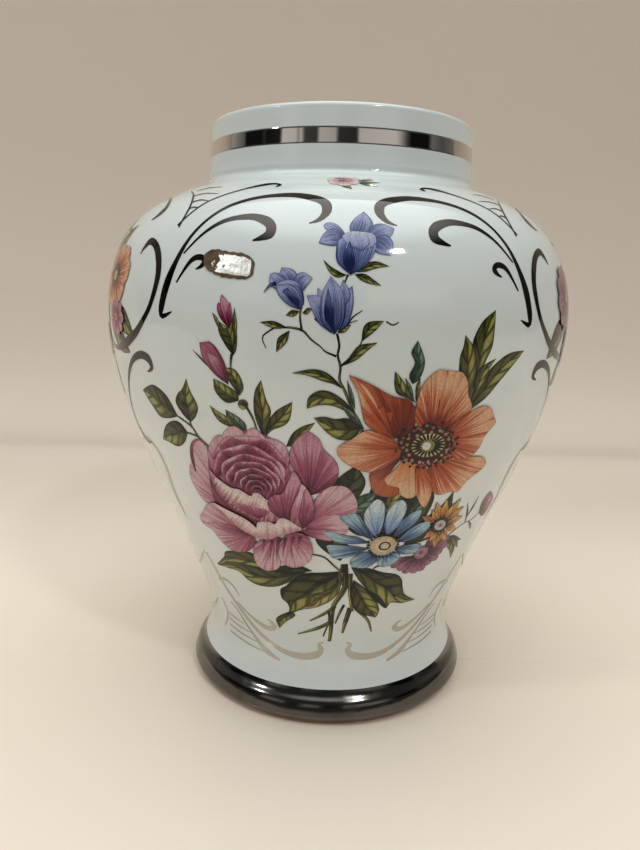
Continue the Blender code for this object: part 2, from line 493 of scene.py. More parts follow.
    def ray(self, centre, tip, wide, inks, inner, lines, strength, blunt):
        """A daisy petal from near a centre to its tip."""
        centre, tip = np.array(centre, float), np.array(tip, float)
        along = tip - centre
        side = np.array([-along[1], along[0]]) / np.linalg.norm(along) * wide
        base = centre + along * inner
        body = centre + along * 0.62
        end = centre + along * (0.62 + 0.33 * blunt)
        self.petal(
            tuple(base), [tuple(body + side), tuple(end + side * 0.62)], tuple(tip),
            [tuple(end - side * 0.62), tuple(body - side)], inks, lines, strength,
        )

    def wheel(self, centre, across, up, angles, wide, inks, inner, lines, strength, blunt):
        """Daisy petals out to an oval round a centre, at the given angles in degrees."""
        for angle in np.radians(list(angles)):
            tip = (centre[0] + across * math.cos(angle), centre[1] + up * math.sin(angle))
            self.ray(centre, tip, wide, inks, inner, lines, strength, blunt)

    def disc(self, centre, across, up, inks, lines=0, strength=0.0, inner=0.0):
        """An oval, or a ring with an inner share, with tones from its middle outwards."""
        angle = np.linspace(0, math.tau, 33)
        ring = np.stack([across * np.cos(angle), up * np.sin(angle)], -1)
        middle = np.array(centre, float)
        self.ruled(middle + ring * max(inner, 0.02), middle + ring, inks, lines, strength, True)

    def dots(self, centre, across, up, count, size, inks, jitter, seed):
        """A ring of small round dots, all in one layer."""
        chance = np.random.default_rng(seed)
        for number in range(count):
            angle = math.tau * number / count
            reach = 1 + jitter * chance.uniform(-1, 1)
            big = size * (1 + 1.5 * jitter * chance.uniform(-1, 1))
            spot = (
                centre[0] + across * reach * math.cos(angle),
                centre[1] + up * reach * math.sin(angle),
            )
            self.disc(spot, big, big, inks)
            self.layers -= 1
        self.layers += 1

    def make(self, material, slot, *nodes):
        """Build the mesh, let it ride on the vase and hide its CAD films."""
        mesh = bpy.data.meshes.new(self.name)
        points = np.vstack(self.points)
        faces = np.vstack(self.faces)
        mesh.from_pydata(points.tolist(), [], faces.tolist())
        for mark, kind, key in (
            ("place", "FLOAT_VECTOR", "vector"), ("brush", "FLOAT_VECTOR", "vector"),
            ("deep", "FLOAT_COLOR", "color"), ("body", "FLOAT_COLOR", "color"),
            ("pale", "FLOAT_COLOR", "color"),
        ):
            data = mesh.attributes.new(mark, kind, "POINT").data
            data.foreach_set(key, np.vstack(self.marks[mark]).astype(np.float32).ravel())
        return finish_piece(self.name, mesh, material, slot, *nodes)


def finish_piece(name, mesh, material, slot, *nodes):
    """A named object that rides on the vase, with its material; the record slot is not used."""
    mesh.shade_smooth()
    mesh.materials.append(material)
    piece = bpy.data.objects.new(name, mesh)
    bpy.context.scene.collection.objects.link(piece)
    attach(piece, "root")
    if nodes:
        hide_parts(*nodes)
    return piece


# The shell and bands ---------------------------------------------------------------------

def turned(name, profile, material, slot, *nodes):
    """A solid of revolution from a section that runs bottom to top on its outer side."""
    radius, height = np.array(profile, float).T
    angle = np.linspace(0, math.tau, SIDES, endpoint=False)
    x = radius[:, None] * np.sin(angle)
    y = -radius[:, None] * np.cos(angle)
    z = np.broadcast_to(height[:, None], x.shape)
    points = np.stack([x, y, z], -1).reshape(-1, 3) * MM
    index = np.arange(len(points)).reshape(x.shape)
    beside = np.roll(index, -1, axis=1)
    rows = [index[:-1], beside[:-1], beside[1:], index[1:]]
    faces = np.stack(rows, -1).reshape(-1, 4)
    mesh = bpy.data.meshes.new(name)
    mesh.from_pydata(points.tolist(), [], faces.tolist())
    mesh.validate()
    return finish_piece(name, mesh, material, slot, *nodes)


def round_lip(inner_top, outer_top):
    """The half circle that closes the wall at the mouth."""
    middle = (inner_top + outer_top) / 2
    reach = np.linalg.norm(outer_top - inner_top) / 2
    angle = np.radians(np.linspace(0, 180, 15)[1:-1])
    return middle + reach * np.stack([np.cos(angle), np.sin(angle)], -1)


def make_shell():
    """The glazed shell, inside and out, and the bare ring that it stands on."""
    wall = OUTER - WALL * NORMALS
    inner = wall[wall[:, 1] > FLOOR_TOP + FLOOR_FILLET]
    corner = np.array([inner[0, 0] - FLOOR_FILLET, FLOOR_TOP])
    bend = np.radians(np.linspace(90, 0, 10))
    fillet = corner + FLOOR_FILLET * np.stack([np.cos(bend), 1 - np.sin(bend)], -1)
    edge = flow([(FOOT_FACE_RADIUS, 0.35), (74.2, 1.2), (74.6, FOOT_BAND_BOTTOM)], 4)
    lip = round_lip(inner[-1], OUTER[-1])
    axis = np.array([[0.01, FLOOR_TOP]])
    section = np.vstack([edge[:-1], OUTER, lip, inner[::-1], fillet[::-1], axis])
    turned("porcelain_shell", section, GLAZE, "porcelain", "vase_body")
    inside = FOOT_FACE_RADIUS - FOOT_RING_WIDTH
    ring = [
        (0.01, RECESS_DEPTH), (inside - 3, RECESS_DEPTH), (inside - 0.8, 1.2), (inside + 0.6, 0),
        (FOOT_FACE_RADIUS - 0.8, 0), (FOOT_FACE_RADIUS, 0.35),
    ]
    turned("unglazed_foot_ring", flow(ring, 3), FOOT_BISQUE, "porcelain")


def make_band(name, low, high, finish, node, below=()):
    """A lustre film once around the vase, thinning to nothing at its edges."""
    share = np.linspace(0, 1, 26)
    y = arc_at(low) + share * (arc_at(high) - arc_at(low))
    lift = 0.07 * np.minimum(1, 12 * np.minimum(1 if below else share, 1 - share)) + 0.015
    radius = np.interp(y, ARC, OUTER[:, 0]) + lift * np.interp(y, ARC, NORMALS[:, 0])
    height = np.interp(y, ARC, OUTER[:, 1]) + lift * np.interp(y, ARC, NORMALS[:, 1])
    section = list(below) + np.stack([radius, height], -1).tolist()
    turned(name, section, finish, "platinum_lustre", node)


make_shell()
make_band("platinum_neck_band", NECK_BAND_BOTTOM, NECK_BAND_TOP, BAND_METAL, "neck_band")
make_band(
    "platinum_foot_band", FOOT_BAND_BOTTOM, FOOT_BAND_TOP, FOOT_METAL_PAINTED_DARK, "foot_band",
    [(FOOT_FACE_RADIUS + 0.02, 0.33), (73.6, 0.64), (74.29, 1.18), (74.6, 1.9)],
)


# Flowers of the bouquet --------------------------------------------------------------------

def draw_rose(p):
    """The open pink rose: outer petals, the ball with its rings, then the curled front lips."""
    p.petal((-12, 127), [(-17, 134), (-20.5, 143), (-19.5, 151)], (-14, 157.2),
            [(-9, 154.5), (-7, 150), (-1.8, 144), (-0.8, 137), (-4.5, 130.5)], ROSE, 9, 0.5)
    p.petal((-13, 112), [(-11, 122), (-8, 128), (-3.5, 132.2)], (2.5, 132),
            [(7, 126), (7.6, 119), (3, 115)], ROSE_PALE, 11, 0.7)
    p.petal((-15, 109), [(-8, 116), (0, 117.5), (3.6, 115)], (4.6, 109), [(3, 106.5), (-5, 107)],
            ROSE_PALE, 7, 0.6)
    p.petal((-17, 107), [(-9, 109), (-4, 108)], (-2, 102.6), [(-10, 103.6)], ROSE, 5, 0.8)
    p.petal((-42, 112), [(-54, 115), (-62, 114.3), (-67.5, 120.5), (-70.3, 127.5)], (-69, 134.5),
            [(-66, 136), (-62, 129), (-54, 121)], ROSE_PALE, 8, 0.5)
    p.petal((-41, 111), [(-55, 119), (-65.3, 131.5), (-67.3, 141)], (-62, 148.6),
            [(-57.6, 145), (-57.5, 134), (-52, 125), (-46, 117)], ROSE_PALE, 8, 0.5)
    p.stroke([(-66, 131), (-67, 140), (-65.5, 146), (-61.5, 148.4), (-58.5, 146)],
             (0.8, 2.2, 2.0, 1.2, 0.4), ROSE_DARK)
    p.petal((-38, 100), [(-54, 112), (-58, 126), (-56, 142), (-48, 152)], (-38, 156),
            [(-26, 152), (-20.5, 140), (-17, 122), (-19, 106)], ROSE_DARK, 10, 0.3)
    p.petals(
        6, 0.5,
        (ROSE_PALE, (-43, 143), [(-49.3, 149.5), (-48.4, 154.5)], (-44, 157.3),
         [(-39.7, 155), (-37, 148)]),
        (ROSE_PALE, (-36, 143), [(-39.7, 150), (-38.7, 154.8)], (-35.4, 157.3),
         [(-31.3, 154.6), (-28, 148)]),
        (ROSE_PALE, (-25, 136), [(-33, 144), (-34.5, 150.5)], (-29, 153.4),
         [(-22.3, 150.5), (-20.4, 142)]),
        (ROSE_PALE, (-52, 131), [(-57.4, 138), (-56.6, 146)], (-52, 152),
         [(-48, 150), (-46.5, 141)]),
    )
    draw_rose_rings(p)
    p.petal((-33, 110), [(-45, 114), (-53, 121), (-57, 129.5)], (-57.4, 134.5),
            [(-54, 131.2), (-46, 122)], ROSE, 5, 0.6)
    p.crest([(-56, 127), (-50, 118.6), (-42, 113.2), (-33, 110.4), (-25, 112), (-19.6, 116)],
            [(-54, 131), (-47, 127), (-42.6, 126.6), (-37.4, 124), (-36, 126.1), (-33, 125.9),
             (-29.8, 123), (-27, 126.2), (-23.5, 127.2), (-20.6, 133)], ROSE_LIP, 17, 0.55, 0.1)
    p.petal((-34, 112), [(-44, 116), (-46, 119)], (-30, 117.5), [(-31, 114)], ROSE, 4, 0.4)
    p.petal((-22, 112), [(-28.5, 117), (-29.8, 122.6), (-27, 126), (-23.5, 127.2), (-21.2, 133)],
            (-18.6, 139), [(-15.2, 132), (-17.2, 125), (-19.4, 117)], ROSE, 9, 0.5)
    p.stroke([(-20.2, 113), (-19.8, 118), (-17.4, 126), (-15.2, 132.5)], (0.5, 1.5, 1.2, 0.3),
             ROSE_DARK)
    p.petal((-19, 107.6), [(-20, 113.5), (-19.2, 121), (-16.8, 128)], (-15.3, 133.2),
            [(-11.6, 128), (-9.7, 120.5), (-10.8, 113), (-14.6, 108.6)], ROSE_PALE, 7, 0.5)
    p.petal((-14.6, 109), [(-16.5, 115), (-15.6, 123)], (-13.6, 131), [(-10.4, 124), (-10.2, 115)],
            ROSE, 6, 0.6)
    p.petal((-37, 101.6), [(-45, 106.5), (-51, 112), (-56.5, 116.2), (-61.6, 113.2),
                           (-64.2, 108.8)], (-67.8, 104),
            [(-66, 100.2), (-60, 97.8), (-55.5, 92.4), (-49, 88.2), (-41, 90), (-36.4, 95.5)],
            ROSE_PALE, 13, 0.7)
    p.petal((-37, 101), [(-46, 105), (-55, 104.5)], (-63, 102), [(-56, 100), (-45, 99.4)], ROSE, 5,
            0.5)
    p.petal((-27, 103), [(-33, 99.5), (-36.8, 95), (-37.4, 88), (-35.6, 82.6)], (-31, 80.3),
            [(-26, 82.3), (-24, 87), (-24.3, 95), (-24, 101)], ROSE_PALE, 9, 0.9)
    p.petal((-20, 106), [(-24.4, 100), (-25.2, 91), (-22.6, 86.2)], (-18, 84.8),
            [(-13, 87.4), (-10.4, 92), (-10.4, 99), (-14, 106)], ROSE_PALE, 11, 0.9)
    for x, y, reach in ((-31.5, 100.5, 9), (-28, 100.5, 12), (-22, 103, 13), (-18.5, 104, 11),
                        (-25, 101.5, 14), (-15.5, 104.5, 9)):
        p.stroke([(x, y), (x - 0.8, y - reach * 0.5), (x - 1.2, y - reach)], (1.7, 0.9, 0.15), ROSE)
    p.crest([(-57, 115.4), (-50, 109), (-44, 104), (-37, 101), (-30, 100.2), (-24.5, 103.5),
             (-14.6, 108.2)],
            [(-56.6, 116.3), (-48, 113.4), (-41, 111), (-36.6, 108), (-35, 106.1), (-34.5, 110),
             (-29.5, 111.3), (-26.6, 110.3), (-25, 113.6), (-22.6, 114.3), (-19.6, 112.8),
             (-16, 110)], ROSE_LIP, 9, 0.3, 0.35)


def draw_rose_rings(p):
    """The rose's heart: rings of ruffled inner petals, each a pale lip over a dark fold."""
    for middle, across, up, spans, thick in (
        ((-38, 133.5), 18.6, 19.5, ((160, 104), (112, 66), (74, 22)), 9.0),
        ((-38.5, 133), 16.4, 15.6, ((186, 120), (134, 70), (92, 34), (44, -2)), 7.5),
        ((-37, 132), 14.2, 12.6, ((176, 96), (104, 40), (58, 0)), 6.2),
        ((-36.5, 131), 11.8, 10.4, ((192, 118), (132, 58), (70, -12)), 5.2),
        ((-35.6, 130), 9.4, 8.4, ((186, 84), (100, 20), (36, -16)), 4.4),
        ((-35, 129), 7.0, 6.4, ((196, 112), (122, 48), (56, -16)), 3.0),
        ((-34.6, 128.2), 4.8, 4.6, ((190, 84), (96, -10)), 2.4),
        ((-34.2, 127.4), 2.7, 2.8, ((200, -10),), 1.6),
    ):
        for number, (first, last) in enumerate(spans):
            angle = np.radians(np.linspace(first, last, 13))
            share = np.linspace(0, 1, 13)
            arch = np.sin(math.pi * share)[:, None]
            ruffle = 1 + 0.035 * np.sin(7 * angle + across)[:, None] + 0.06 * arch
            oval = np.stack([across * np.cos(angle), up * np.sin(angle)], -1)
            high = np.array(middle) + ruffle * oval
            inward = np.array(middle) - high
            inward /= np.linalg.norm(inward, axis=1)[:, None]
            low = high + inward * thick * (0.35 + 0.65 * arch)
            lip = (ROSE_PALE, ROSE)[(number + int(up)) % 2]
            p.ruled(low, high, (ROSE_DARK[0], ROSE_DARK[1], ROSE[1]), 2, 0.35, True)
            p.ruled(high + inward * (0.3 + 0.30 * thick * arch), high, (ROSE[1], lip[1], lip[2]), 3,
                    0.5, True, 0.25)
    p.disc((-34.2, 126.8), 1.5, 1.4, ROSE_DARK)


def draw_poppy(p):
    """The orange poppy: petals, a ribbed seed head and a ring of dark stamens."""
    p.disc((35, 151), 13, 10, POPPY_DARK)
    p.petal((24, 154), [(15, 158), (11, 165), (9, 171), (6, 177)], (2, 180.8),
            [(10, 177.6), (18, 173.2), (26, 170.8), (28.6, 165), (27.6, 158)], POPPY_DARK, 9, 0.5)
    p.petal((21, 154.5), [(14, 157.8), (8.6, 161.5), (6.7, 168), (5, 174.5)], (1.4, 181.2),
            [(8, 176.6), (12.2, 171.2), (13.6, 167.6), (15, 169.2), (16.8, 166.3), (19.2, 166.4),
             (18.4, 160)], POPPY, 7, 0.6)
    p.petal((36, 155), [(28.6, 162), (28.2, 170), (30, 177), (34, 181.6), (38, 183.2)], (42, 180.6),
            [(46.5, 182.2), (50, 178), (51, 172.5), (53.6, 167), (51, 161), (44, 157)], POPPY, 13,
            0.6)
    for lean, reach in ((-6.4, 11), (-4, 14), (-1.6, 12), (0.8, 15), (3.2, 13), (5.8, 12), (8.6, 8),
                        (11, 6)):
        foot = (37 + 0.45 * lean, 157)
        p.stroke([foot, (foot[0] + 0.3 * lean, 157 + 0.6 * reach), (37 + 1.15 * lean, 157 + reach)],
                 (3.0, 1.5, 0.15), (POPPY[0], POPPY_DARK[1], POPPY[1]))
    p.petal((40, 153), [(47, 160.5), (53.5, 165.2), (59.5, 167.2), (64.2, 165.8), (67, 161.5)],
            (68.6, 158.6), [(64, 153.8), (61.4, 147.6), (57, 143.6), (50, 142), (44, 144)], POPPY,
            13, 0.75)
    p.petal((36, 147), [(45, 143.4), (56.6, 143.7), (64.4, 142.6), (68, 139)], (66.6, 136),
            [(62, 133.2), (57.6, 130), (54, 125.6), (49, 126.3), (44.4, 125.4), (40, 128),
             (37, 137)], POPPY, 14, 0.75)
    p.petal((25, 147), [(18, 142.4), (12, 139.6), (12.2, 134), (14, 129.4)], (18.4, 127),
            [(24, 127.4), (24.4, 131), (20.4, 134), (20, 139)], POPPY_DARK, 7, 0.4)
    p.petal((27, 149), [(22.6, 141.6), (18, 136.2), (19.6, 133), (24.2, 131.4), (25, 128)],
            (29, 125.4), [(32.6, 127), (32, 135), (31, 142)], POPPY_PALE, 8, 0.7)
    p.petal((30, 148), [(30.6, 139), (32, 129), (34.4, 123)], (37.4, 119.4),
            [(39.6, 124), (39.6, 131), (36.4, 139)], POPPY, 5, 0.6)
    p.petal((27, 150), [(21, 153.8), (15, 157.6), (9, 158.8), (3.6, 155)], (-1.8, 150.6),
            [(-0.4, 146), (4, 142.4), (10, 139.6), (15, 140.6), (21.4, 144.6)], POPPY, 13, 0.7)
    heart = (35, 151)
    p.disc(heart, 11.6, 8.6, (BLACK[0], BLACK[1], POPPY_DARK[0]))
    p.dots(heart, 9.6, 7.1, 17, 0.75, (OLIVE[1], CREAM[1], CREAM[2]), 0.10, 9)
    p.dots(heart, 12.2, 9.3, 27, 0.85, BLACK, 0.14, 3)
    p.dots(heart, 11.4, 8.6, 26, 0.62, (MAUVE[1], MAUVE[2], CREAM[2]), 0.12, 5)
    p.dots(heart, 13.4, 10.3, 21, 0.7, BLACK, 0.11, 7)
    p.disc((35.2, 151.4), 7.6, 5.6, (BLACK[1], (0.28, 0.22, 0.07), (0.62, 0.54, 0.30)))
    for number in range(22):
        p.wheel((35.2, 151.4), 7.8, 5.8, [360 * number / 22], 0.55, BLACK, 0.36, 2, 0.2, 1.0)
        p.layers -= 1
    p.layers += 1
    p.stroke([(36, 147.8), (38.4, 149.4), (38.4, 152.4), (36.4, 153.8)], (0.4, 1.7, 1.2, 0.3),
             BLACK)
    p.disc((34.3, 151.2), 2.2, 2.1, (CREAM[2], (0.70, 0.70, 0.64), (0.60, 0.60, 0.52)))


def draw_blue_daisy(p):
    """The pale blue daisy with its cream eye and ring of dark dots."""
    eye = (20.6, 99)
    p.petals(
        6, 0.85,
        (BLUE, (15, 103), [(10, 106), (4, 111.6)], (0.6, 116.2),
         [(4, 118), (8.2, 118), (12, 112), (16, 108)]),
        (BLUE, (14, 101), [(6, 100.6), (0, 101.6)], (-5.6, 106.6),
         [(-3, 108), (4, 105.6), (9, 104.6)]),
        (BLUE, (14, 97.6), [(8, 94), (4, 92.2)], (-1.4, 92),
         [(-4.2, 98.6), (-3.4, 100.2), (4, 99.8)]),
        (BLUE_PALE, (17, 104), [(12, 111), (10.9, 119)], (15.5, 125.6), [(19.4, 122), (19.2, 111)]),
        (BLUE_PALE, (21, 105), [(19.8, 113), (21.6, 121)], (26.2, 124.8),
         [(29.2, 121), (27.6, 113), (24, 107)]),
        (BLUE, (24, 103.6), [(27, 112), (31.6, 117)], (36.2, 118.4),
         [(36, 114), (33, 109.4), (27, 105)]),
        (BLUE, (26, 100.6), [(31, 107), (36.6, 110.6)], (41.4, 110.6),
         [(42, 107), (38, 103), (31, 100.3)]),
        (BLUE, (26, 97), [(32, 98), (37, 98)], (39.6, 96.4), [(37, 92.4), (32, 92), (28, 93.4)]),
        (BLUE, (22, 95), [(28, 93.6), (29.2, 90)], (24, 85.8), [(20, 86), (18.7, 89.6)]),
        (BLUE, (17.6, 95), [(18.6, 90), (14, 85.8)], (8, 86.4), [(6.3, 89), (8, 93), (12, 95.6)]),
    )
    p.disc(eye, 5.9, 5.8, ((0.72, 0.66, 0.50), CREAM[2], CREAM[1]), 9, 0.2)
    p.dots(eye, 7.0, 6.9, 25, 0.72, BLACK, 0.07, 2)
    p.disc((21.2, 98.8), 2.9, 2.7, BLACK, inner=0.68)
    p.disc((21, 98.8), 1.5, 1.5, (CREAM[2], CREAM[2], CREAM[1]))


def draw_small_daisies(p):
    """The yellow daisy and the mauve one half behind it."""
    eye = (40, 91.4)
    for tip, wide in (
        ((25.2, 85), 2.8), ((29, 82), 2.6), ((32.5, 79.3), 3.0), ((37.6, 78.2), 3.2),
        ((42.4, 78.6), 2.8), ((46.6, 82), 2.7), ((51.2, 84.4), 2.7), ((53.4, 88.8), 2.7),
        ((56.2, 93), 2.8), ((55.6, 98), 2.6), ((47, 100), 2.4),
    ):
        p.ray(eye, tip, wide, MAUVE, 0.22, 4, 0.7, 1.0)
    p.disc(eye, 3.9, 4.2, (MAUVE[1], (0.42, 0.24, 0.32), (0.30, 0.12, 0.18)), 14, 0.4)
    p.disc(eye, 1.5, 1.6, MAUVE)
    heart = (47.8, 107.2)
    for tip, wide, inks in (
        ((36.8, 114.6), 2.0, (YELLOW[0], (0.38, 0.12, 0.04), (0.48, 0.22, 0.10))),
        ((39.6, 100), 2.0, (YELLOW[0], (0.48, 0.17, 0.05), (0.58, 0.30, 0.14))),
        ((43.6, 121.4), 2.3, YELLOW), ((49, 122.2), 2.3, YELLOW), ((57.4, 121.2), 2.2, YELLOW),
        ((60.6, 115.6), 2.0, YELLOW), ((61.6, 109.4), 2.2, YELLOW), ((59, 102), 2.4, YELLOW),
        ((53.4, 96), 2.4, YELLOW), ((47, 93.2), 2.4, YELLOW), ((43.4, 97.6), 1.9, YELLOW),
        ((41.6, 117.4), 1.9, YELLOW), ((53.6, 118.6), 1.9, YELLOW),
    ):
        p.ray(heart, tip, wide, inks, 0.25, 3, 0.7, 0.45)
    p.disc(heart, 4.4, 4.3, BLACK)
    p.disc(heart, 3.3, 3.2, (MAUVE[0], (0.45, 0.36, 0.40), (0.58, 0.52, 0.54)), 14, 0.6)
    p.dots(heart, 4.4, 4.3, 15, 0.55, BLACK, 0.06, 4)
    p.disc(heart, 1.2, 1.2, (BLACK[2], OLIVE[1], CREAM[1]))


def draw_bells(p):
    """Three violet bellflowers: flared lobes behind the cups."""
    p.soft = False
    p.petals(
        7, 0.8,
        (VIOLET, (0, 231), [(-3, 236), (-6, 238.2)], (-8.4, 238),
         [(-9.4, 236.4), (-7, 234), (-2.6, 230.4)]),
        (VIOLET, (-1, 230.6), [(-5, 235.4), (-9, 233.6)], (-11, 229.4),
         [(-6.4, 228.4), (-2.6, 229)]),
        (VIOLET, (3, 231), [(0.2, 235.6), (1.8, 240)], (5.6, 244), [(8.6, 239.6), (8.4, 235)]),
        (VIOLET, (6, 231), [(8, 236.6), (12, 238.4)], (17, 236.4), [(15.6, 233), (11, 230.4)]),
        (VIOLET, (8, 231), [(13, 233.6), (16.4, 230.4)], (15.6, 225.4), [(11, 226), (8, 228)]),
        (VIOLET, (0.8, 217.6), [(-4, 222), (-4.6, 227), (-3.4, 231)], (3, 233.4),
         [(9.6, 231), (9.4, 226), (6, 221)]),
        (VIOLET, (-3, 197.4), [(-2, 205), (-1.6, 210)], (1.6, 213.8), [(2.2, 207), (0.4, 200)]),
        (VIOLET, (-3, 203), [(-3.6, 210)], (-1.8, 216), [(1, 210)]),
        (VIOLET, (-7, 203), [(-10.8, 206)], (-11, 212.8), [(-7, 209)]),
        (VIOLET, (-5.4, 196.4), [(-10.4, 200), (-13, 205)], (-15, 209.8),
         [(-9.5, 209.4), (-6.4, 203)]),
        (VIOLET, (-4.4, 196), [(-9.6, 201), (-9.6, 210)], (-6.3, 217), [(-1.6, 211), (-0.8, 202)]),
        (VIOLET, (-18.6, 210), [(-22.4, 213), (-25.2, 216.5)], (-24.4, 219.8),
         [(-20, 219), (-17.6, 215)]),
        (VIOLET, (-18, 210), [(-19.6, 216), (-16.5, 218.2)], (-12.8, 216.2),
         [(-14.6, 213.6), (-16, 211.6)]),
        (VIOLET, (-21, 210.4), [(-26, 211.6), (-29, 213.6)], (-28.8, 217.2),
         [(-26.2, 217.8), (-22, 215)]),
        (VIOLET, (-17.6, 204.6), [(-22, 206.4), (-25.6, 210)], (-26.6, 213.4),
         [(-21, 214.6), (-16.8, 212.4), (-15.8, 207)]),
    )
    p.petal((4.6, 226.6), [(0, 229), (-2.6, 232), (0, 234.2)], (3.6, 234.4),
            [(9.2, 233.4), (9.8, 229.4)], (VIOLET[1], VIOLET[2], (0.56, 0.54, 0.62)), 5, 0.5)
    p.petal((0.8, 218), [(-2, 223)], (0.4, 230.6), [(2.4, 223)], (VIOLET[0], VIOLET[0], VIOLET[1]),
            3, 0.4)
    p.petal((-4.6, 197), [(-8.4, 203)], (-7.2, 213), [(-5, 204)], (VIOLET[0], VIOLET[0], VIOLET[1]),
            3, 0.4)
    p.petal((-18, 205.2), [(-21.4, 208), (-24, 211.4)], (-22, 212.2),
            [(-19, 209.4), (-17.2, 207.6)], (VIOLET[0], VIOLET[0], VIOLET[1]), 3, 0.4)
    p.petal((-17, 212), [(-21, 213.6), (-25, 213.2)], (-26.6, 213.8),
            [(-22, 215.4), (-18.4, 214.4)], (VIOLET[1], VIOLET[2], VIOLET[2]), 3, 0.4)
    p.stroke([(-26.4, 213.8), (-28.8, 213), (-31, 210.4)], (1.6, 1.0, 0.3), VIOLET)


def draw_bud_petals(p):
    """The two crimson rosebuds."""
    p.soft = False
    p.petals(
        5, 0.6,
        (ROSE_DARK, (-45.6, 197), [(-49, 200.5), (-50.4, 204)], (-49.8, 206.2), [(-47.6, 204.4)]),
        (ROSE, (-45, 196), [(-48.2, 203), (-49, 207)], (-48.3, 209.2),
         [(-45.2, 206), (-43.7, 201)]),
        (ROSE_DARK, (-45, 197), [(-46.4, 202)], (-44.6, 206.6), [(-43.6, 201)]),
        (ROSE_DARK, (-45.6, 174.6), [(-51.6, 178.2), (-57.2, 184.2)], (-58.6, 190.4),
         [(-52.6, 190.6), (-47.2, 183.4)]),
        (ROSE, (-46.2, 175.4), [(-52, 180)], (-55.8, 187.4), [(-50, 184.6)]),
    )


# Leaves and stems of the bouquet -----------------------------------------------------------

def draw_left_leaves(p):
    """The leaves around and behind the rose, and the two rosebud stems."""
    p.petals(
        6, 0.8,
        (GREEN, (-73, 157.5), [(-79, 166), (-87, 169.8), (-93, 168.6)], (-98, 166),
         [(-91, 159.6), (-86, 155.4), (-80, 155.4)]),
        (GREEN, (-66, 156), [(-70, 159), (-73.6, 164), (-72, 168), (-69, 170.6)], (-66.4, 175.4),
         [(-64.5, 170), (-61, 163.6), (-63, 158.4)]),
        (GREEN, (-68, 150.5), [(-72, 154.6), (-77, 154.8), (-83, 151)], (-87, 143.5),
         [(-82, 143), (-76, 142), (-71, 145)]),
        (GREEN, (-31, 153), [(-34, 160), (-35.2, 166), (-34.6, 173)], (-32, 177.6),
         [(-30, 170), (-28, 165), (-29.4, 159)]),
        (GREEN, (-30.5, 153.5), [(-29.4, 160), (-26, 165.4)], (-19.6, 169.6),
         [(-20.3, 163), (-22.5, 159.5), (-27.5, 157)]),
        (TEAL, (-39, 154), [(-44, 157.5), (-46.8, 160)], (-47.6, 164),
         [(-42, 161.6), (-38.4, 158)]),
        (OLIVE, (-44, 156), [(-50, 158), (-53, 161)], (-55, 165), [(-50, 162.4), (-45, 160)]),
        (GREEN, (-22, 150), [(-19.6, 156), (-15.4, 159.6)], (-10.6, 161.4),
         [(-14, 156), (-18, 151)]),
        (GREEN, (-43.4, 186.4), [(-46.6, 190), (-49.6, 195)], (-49.6, 199.2),
         [(-45, 197), (-43.6, 200), (-41.8, 195), (-42, 189)]),
        (GREEN, (-42.6, 190), [(-43.8, 198)], (-42.8, 204.6), [(-41.6, 198)]),
        (OLIVE, (-48.6, 195), [(-51, 198.6)], (-52.6, 202.4), [(-49.8, 200)]),
        (GREEN, (-41.5, 168.4), [(-47, 167), (-52, 171.4)], (-52.6, 176.6),
         [(-47, 174.6), (-42, 171.6)]),
        (GREEN, (-41, 170.4), [(-45, 175.4)], (-49, 181.2),
         [(-44, 181.4), (-41, 179), (-39.2, 174)]),
        (GREEN, (-53, 180), [(-58, 184.6)], (-62.4, 187.6), [(-57.4, 183)]),
        (GREEN, (-56, 185), [(-58.4, 190.6)], (-60.6, 193.6), [(-57, 188.6)]),
        (GREEN, (-50, 184), [(-53, 189.6)], (-55, 192.6), [(-51.4, 188)]),
    )
    p.disc((-39.6, 167), 2.3, 2.2, GREEN)
    p.stroke([(-40, 168), (-37.5, 165), (-35, 160), (-33.5, 154)], (1.1, 0.9, 0.8), GREEN)
    p.stroke([(-44, 187), (-44.6, 183), (-44.3, 179)], (1.2, 0.8, 0.3), GREEN)
    p.stroke([(-73, 157.6), (-65.5, 154), (-62, 149.5), (-56, 145)], (0.7, 0.9, 1.0), GREEN)
    p.stroke([(-66, 156.4), (-65.4, 153.4)], (0.8, 0.8), GREEN)
    p.stroke([(-68, 150.6), (-62.6, 149.8)], (0.7, 0.8), GREEN)


